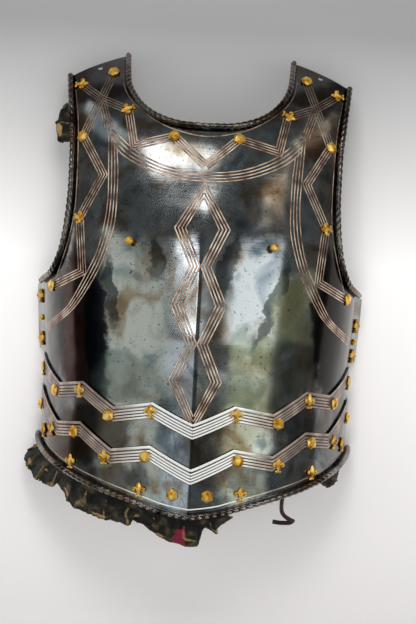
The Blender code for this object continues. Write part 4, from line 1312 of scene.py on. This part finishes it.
def lining_cloth(name, tan, crimson):
    """Worn velvet: a dark pile, tan weave where the pile is gone, and pale tan along the fold
    tops, partly worn pile and partly a painted highlight.

    Each patch is a place on the cloth from 0 to 1 across and along, and its half sizes.
    """
    material, tree, shader = new_material(name)
    flat = coordinate(tree, "UV")
    place = coordinate(tree)
    colour = ramped(tree, clouds_of(tree, place, 0.012, 5.0),
                    ((0.36, "#070706"), (0.52, "#14140e"), (0.68, "#463b27")))
    ragged = clouds_of(tree, place, 0.007, 4.0)
    for patches, patch_colour in ((tan, "#8f7148"), (crimson, "#74172f")):
        for across, along, half_across, half_along in patches:
            far = oval(tree, flat, (across, along, 0.0), (half_across, half_along, 1.0))
            rough = node(tree, "ShaderNodeMath", {0: ragged, 1: 1.4, 2: far},
                         operation="MULTIPLY_ADD").outputs["Value"]
            cover = ranged(tree, rough, 1.75, 1.45, kind="SMOOTHSTEP")
            colour = blended(tree, cover, colour, linear(patch_colour))
    # Pale tan on the fold tops: partly worn pile, partly a painted highlight.
    tone_shift = node(tree, "ShaderNodeMath", {0: noted(tree, "crest"), 1: ragged},
                  operation="MULTIPLY").outputs["Value"]
    colour = blended(tree, ranged(tree, tone_shift, 0.36, 0.60, 0.0, 0.55), colour,
                     linear("#a98d61"))
    nap = bumped(tree, clouds_of(tree, place, 0.0011, 3.0), 0.6, 0.0006)
    connect(tree, shader, {"Base Color": colour, "Roughness": 0.85, "Sheen Weight": 0.04,
                           "Sheen Roughness": 0.4, "Normal": nap})
    return material


RUFFLE_TAN = ((0.03, 0.74, 0.022, 0.16), (0.13, 0.88, 0.040, 0.05), (0.26, 0.66, 0.030, 0.04),
              (0.45, 0.86, 0.024, 0.05), (0.66, 0.93, 0.030, 0.04), (0.83, 0.72, 0.016, 0.08),
              (0.93, 0.94, 0.030, 0.04))
ruffle_cloth = lining_cloth("lining ruffle velvet", RUFFLE_TAN, ((1.005, 0.85, 0.034, 0.34),))
dark_cloth = lining_cloth("dark lining velvet", ((0.62, 0.9, 0.10, 0.12),), ())
for name, plan, frame_at, material, cells, rest, cut in (
        ("lining_ruffle", RUFFLE_PLAN, behind_rim, ruffle_cloth, (260, 36), "lame_lower_fine",
         RUFFLE_FLAT),
        ("lining_front_scrap", FRONT_PLAN, behind_rim, dark_cloth, (72, 30), "lame_lower_fine",
         FRONT_FLAT),
        ("lining_right_scrap", RIGHT_PLAN, behind_rim, dark_cloth, (60, 24), "lame_lower_fine",
         RIGHT_FLAT),
        ("lining_armhole_scrap", ARMHOLE_PLAN, behind_left_armhole, dark_cloth, (60, 24),
         "breast_plate_fine", ARMHOLE_FLAT)):
    cloth = torn_cloth(name + "_fine", plan, frame_at, *cells)
    dress(cloth, material)
    hand_over(cloth, "lining", name)

# Strap end: a narrow dark strap, held behind the lower edge, that comes out and doubles back
# on itself, with traces of crimson.
STRAP_WIDTH = 0.0048
STRAP_WALL = 0.0014
STRAP_REACH = 0.042
STRAP_CROWN = 0.0004
STRAP_COLUMNS = 90
STRAP_ROWS = 8
STRAP_START_TURN = 0.385

# The strap's course: out past the rim, along the rim and downwards, as shares of STRAP_REACH.
StrapBend = namedtuple("StrapBend", "out along sink")
STRAP_BENDS = rows_of(StrapBend, (
    (-0.35, 0.00, 0.00), (0.05, 0.00, 0.02), (0.35, -0.06, 0.12), (0.60, -0.03, 0.25),
    (0.80, 0.07, 0.34), (0.97, 0.24, 0.38), (1.08, 0.38, 0.46), (1.12, 0.34, 0.60),
    (1.06, 0.12, 0.66), (0.96, -0.10, 0.68)))
StrapStage = namedtuple("StrapStage", "share out along sink")
STRAP_STAGES = [StrapStage(i / (len(STRAP_BENDS) - 1), *bend)
                for i, bend in enumerate(STRAP_BENDS)]

strap_point, strap_out, strap_normal = behind_rim(STRAP_START_TURN)
strap_along = strap_normal.cross(strap_out).normalized()
if strap_along.x < 0:
    strap_along.negate()


def strap_centre(share):
    out, along, sink = [interpolate(STRAP_STAGES, "share", column, share)
                        for column in ("out", "along", "sink")]
    return (strap_point + strap_out * STRAP_REACH * out + strap_along * STRAP_REACH * along
            - strap_normal * STRAP_REACH * sink)


def strap_place(u, v):
    step = 0.025
    travel = (strap_centre(min(u + step, 1.0)) - strap_centre(max(u - step, 0.0))).normalized()
    across = travel.cross(strap_normal).normalized()
    crown = STRAP_CROWN * (1.0 - (2.0 * v - 1.0) ** 2)
    return strap_centre(u) + across * STRAP_WIDTH * (v - 0.5) + strap_normal * crown


strap = formed_sheet("strap_end_fine", STRAP_COLUMNS, STRAP_ROWS, strap_place)
weld_and_face(strap, lambda point: strap_normal)
thicken(strap, STRAP_WALL)

# Dark leather with traces of crimson: dull, with a fine grain, so it stays apart from metal.
strap_leather, tree, shader = new_material("strap leather")
place = coordinate(tree)
brown = ramped(tree, clouds_of(tree, place, 0.009, 4.0),
               ((0.35, "#150d0a"), (0.55, "#27170f"), (0.72, "#4a161c")))
skin = bumped(tree, clouds_of(tree, place, 0.0012, 3.0), 0.5, 0.0003)
connect(tree, shader, {"Base Color": brown, "Roughness": 0.6, "Normal": skin})
dress(strap, strap_leather)
hand_over(strap, "leather", "strap_end")

# Table, lights and camera: a pale table under soft studio boxes. Each box is placed where
# its reflection falls in the polished steel: a bright one under the neck, a narrow one left
# of the ridge, large ones on both sides, dim ones at the shoulders and the foot. The fills
# light the rest and aren't seen in reflections.
TABLE_SIZE = 1.7
deselect()
bpy.ops.mesh.primitive_plane_add(size=TABLE_SIZE)
table = bpy.context.object
table.name = "table"
table_paper, tree, shader = new_material("pale table")
# The table is painted darker towards the head end and a little towards the foot end: painted shade
# for the fall-off of the light.
along = node(tree, "ShaderNodeSeparateXYZ", {"Vector": coordinate(tree)}).outputs["Y"]
pale = ramped(tree, ranged(tree, along, -0.40, 0.40),
              ((0.05, "#cfcacb"), (0.25, "#e0dcdc"), (0.55, "#f2efee"), (0.74, "#bdbbbb"),
               (0.88, "#908e8f")))
connect(tree, shader, {"Base Color": pale, "Roughness": 0.8})
table.data.materials.append(table_paper)

# A box's direction is its azimuth from the head end towards the right, and its elevation.
Softbox = namedtuple("Softbox", "name azimuth elevation distance width height watts colour seen")
SOFTBOXES = (
    Softbox("neck_box", -12, 42, 2.6, 1.60, 0.52, 7.8, "#ffffff", True),
    Softbox("ridge_box", -60, 73.6, 2.9, 0.19, 1.30, 3.9, "#f6faff", True),
    Softbox("right_box", 84, 54, 2.7, 1.60, 1.50, 12, "#e6ebee", True),
    Softbox("right_dim_box", 90, 22, 2.7, 1.90, 0.60, 1.8, "#b9bca4", True),
    Softbox("right_low_box", 118, 50, 2.7, 1.20, 0.80, 4.2, "#c9c7a8", True),
    Softbox("left_box", -92, 46, 2.6, 2.10, 1.70, 9, "#dfe4d8", True),
    Softbox("shoulder_box", -42, 17, 2.7, 0.95, 0.66, 2.3, "#c9d6da", True),
    Softbox("right_shoulder_box", 45, 14, 2.7, 0.90, 0.50, 1.2, "#cdccbb", True),
    Softbox("warm_box", 48, 38, 2.8, 0.75, 0.55, 1.7, "#d9c7b0", True),
    Softbox("foot_box", -131, 67, 2.9, 0.34, 0.50, 0.55, "#dfe9f6", True),
    Softbox("head_fill", 0, 62, 1.1, 0.4, 0.4, 5, "#ffffff", False),
    Softbox("top_fill", 180, 66, 2.2, 1.8, 1.8, 26, "#ffffff", False),
    Softbox("left_fill", -95, 38, 1.35, 0.8, 0.8, 4.6, "#ffffff", False),
    Softbox("right_fill", 95, 38, 1.35, 0.8, 0.8, 3.6, "#ffffff", False),
)
LIGHT_AIM = Vector((0.0, 0.0, 0.08))
for box in SOFTBOXES:
    azimuth, elevation = math.radians(box.azimuth), math.radians(box.elevation)
    toward = Vector((math.sin(azimuth) * math.cos(elevation),
                     math.cos(azimuth) * math.cos(elevation), math.sin(elevation)))
    data = bpy.data.lights.new(box.name, "AREA")
    data.shape = "RECTANGLE"
    data.size = box.width
    data.size_y = box.height
    data.energy = box.watts
    data.color = linear(box.colour)[:3]
    light = bpy.data.objects.new(box.name, data)
    bpy.context.scene.collection.objects.link(light)
    light.location = LIGHT_AIM + toward * box.distance
    long_side = (Vector((0.0, 1.0, 0.0)) - toward * toward.y).normalized()
    facing = Matrix((long_side.cross(toward), long_side, toward)).transposed()
    light.rotation_euler = facing.to_euler()
    light.visible_glossy = box.seen
    light.visible_camera = False
bpy.context.scene.view_settings.view_transform = "Standard"
world = bpy.data.worlds.new("studio")
bpy.context.scene.world = world
world.use_nodes = True
tree = world.node_tree
rising = node(tree, "ShaderNodeSeparateXYZ", {"Vector": coordinate(tree, "Generated")})
room = ramped(tree, rising.outputs["Z"], ((0.0, "#7c746e"), (0.22, "#85898a"), (0.50, "#767d80")))
connect(tree, tree.nodes["Background"], {"Color": room, "Strength": 0.40})

CAMERA_HEIGHT = 2.4
VIEW_HEIGHT = 0.702
VIEW_PLANE_Z = 0.03
CAMERA_X = 0.0102
CAMERA_Y = 0.2237
CAMERA_ROLL = 2.8
SENSOR = 36.0
camera_data = bpy.data.cameras.new("camera")
camera_data.sensor_width = SENSOR
camera_data.lens = SENSOR * (CAMERA_HEIGHT - VIEW_PLANE_Z) / VIEW_HEIGHT
camera = bpy.data.objects.new("camera", camera_data)
bpy.context.scene.collection.objects.link(camera)
camera.location = (CAMERA_X + SHIFT.x, CAMERA_Y + SHIFT.y, CAMERA_HEIGHT)
camera.rotation_euler = (0.0, 0.0, math.radians(CAMERA_ROLL))
bpy.context.scene.camera = camera
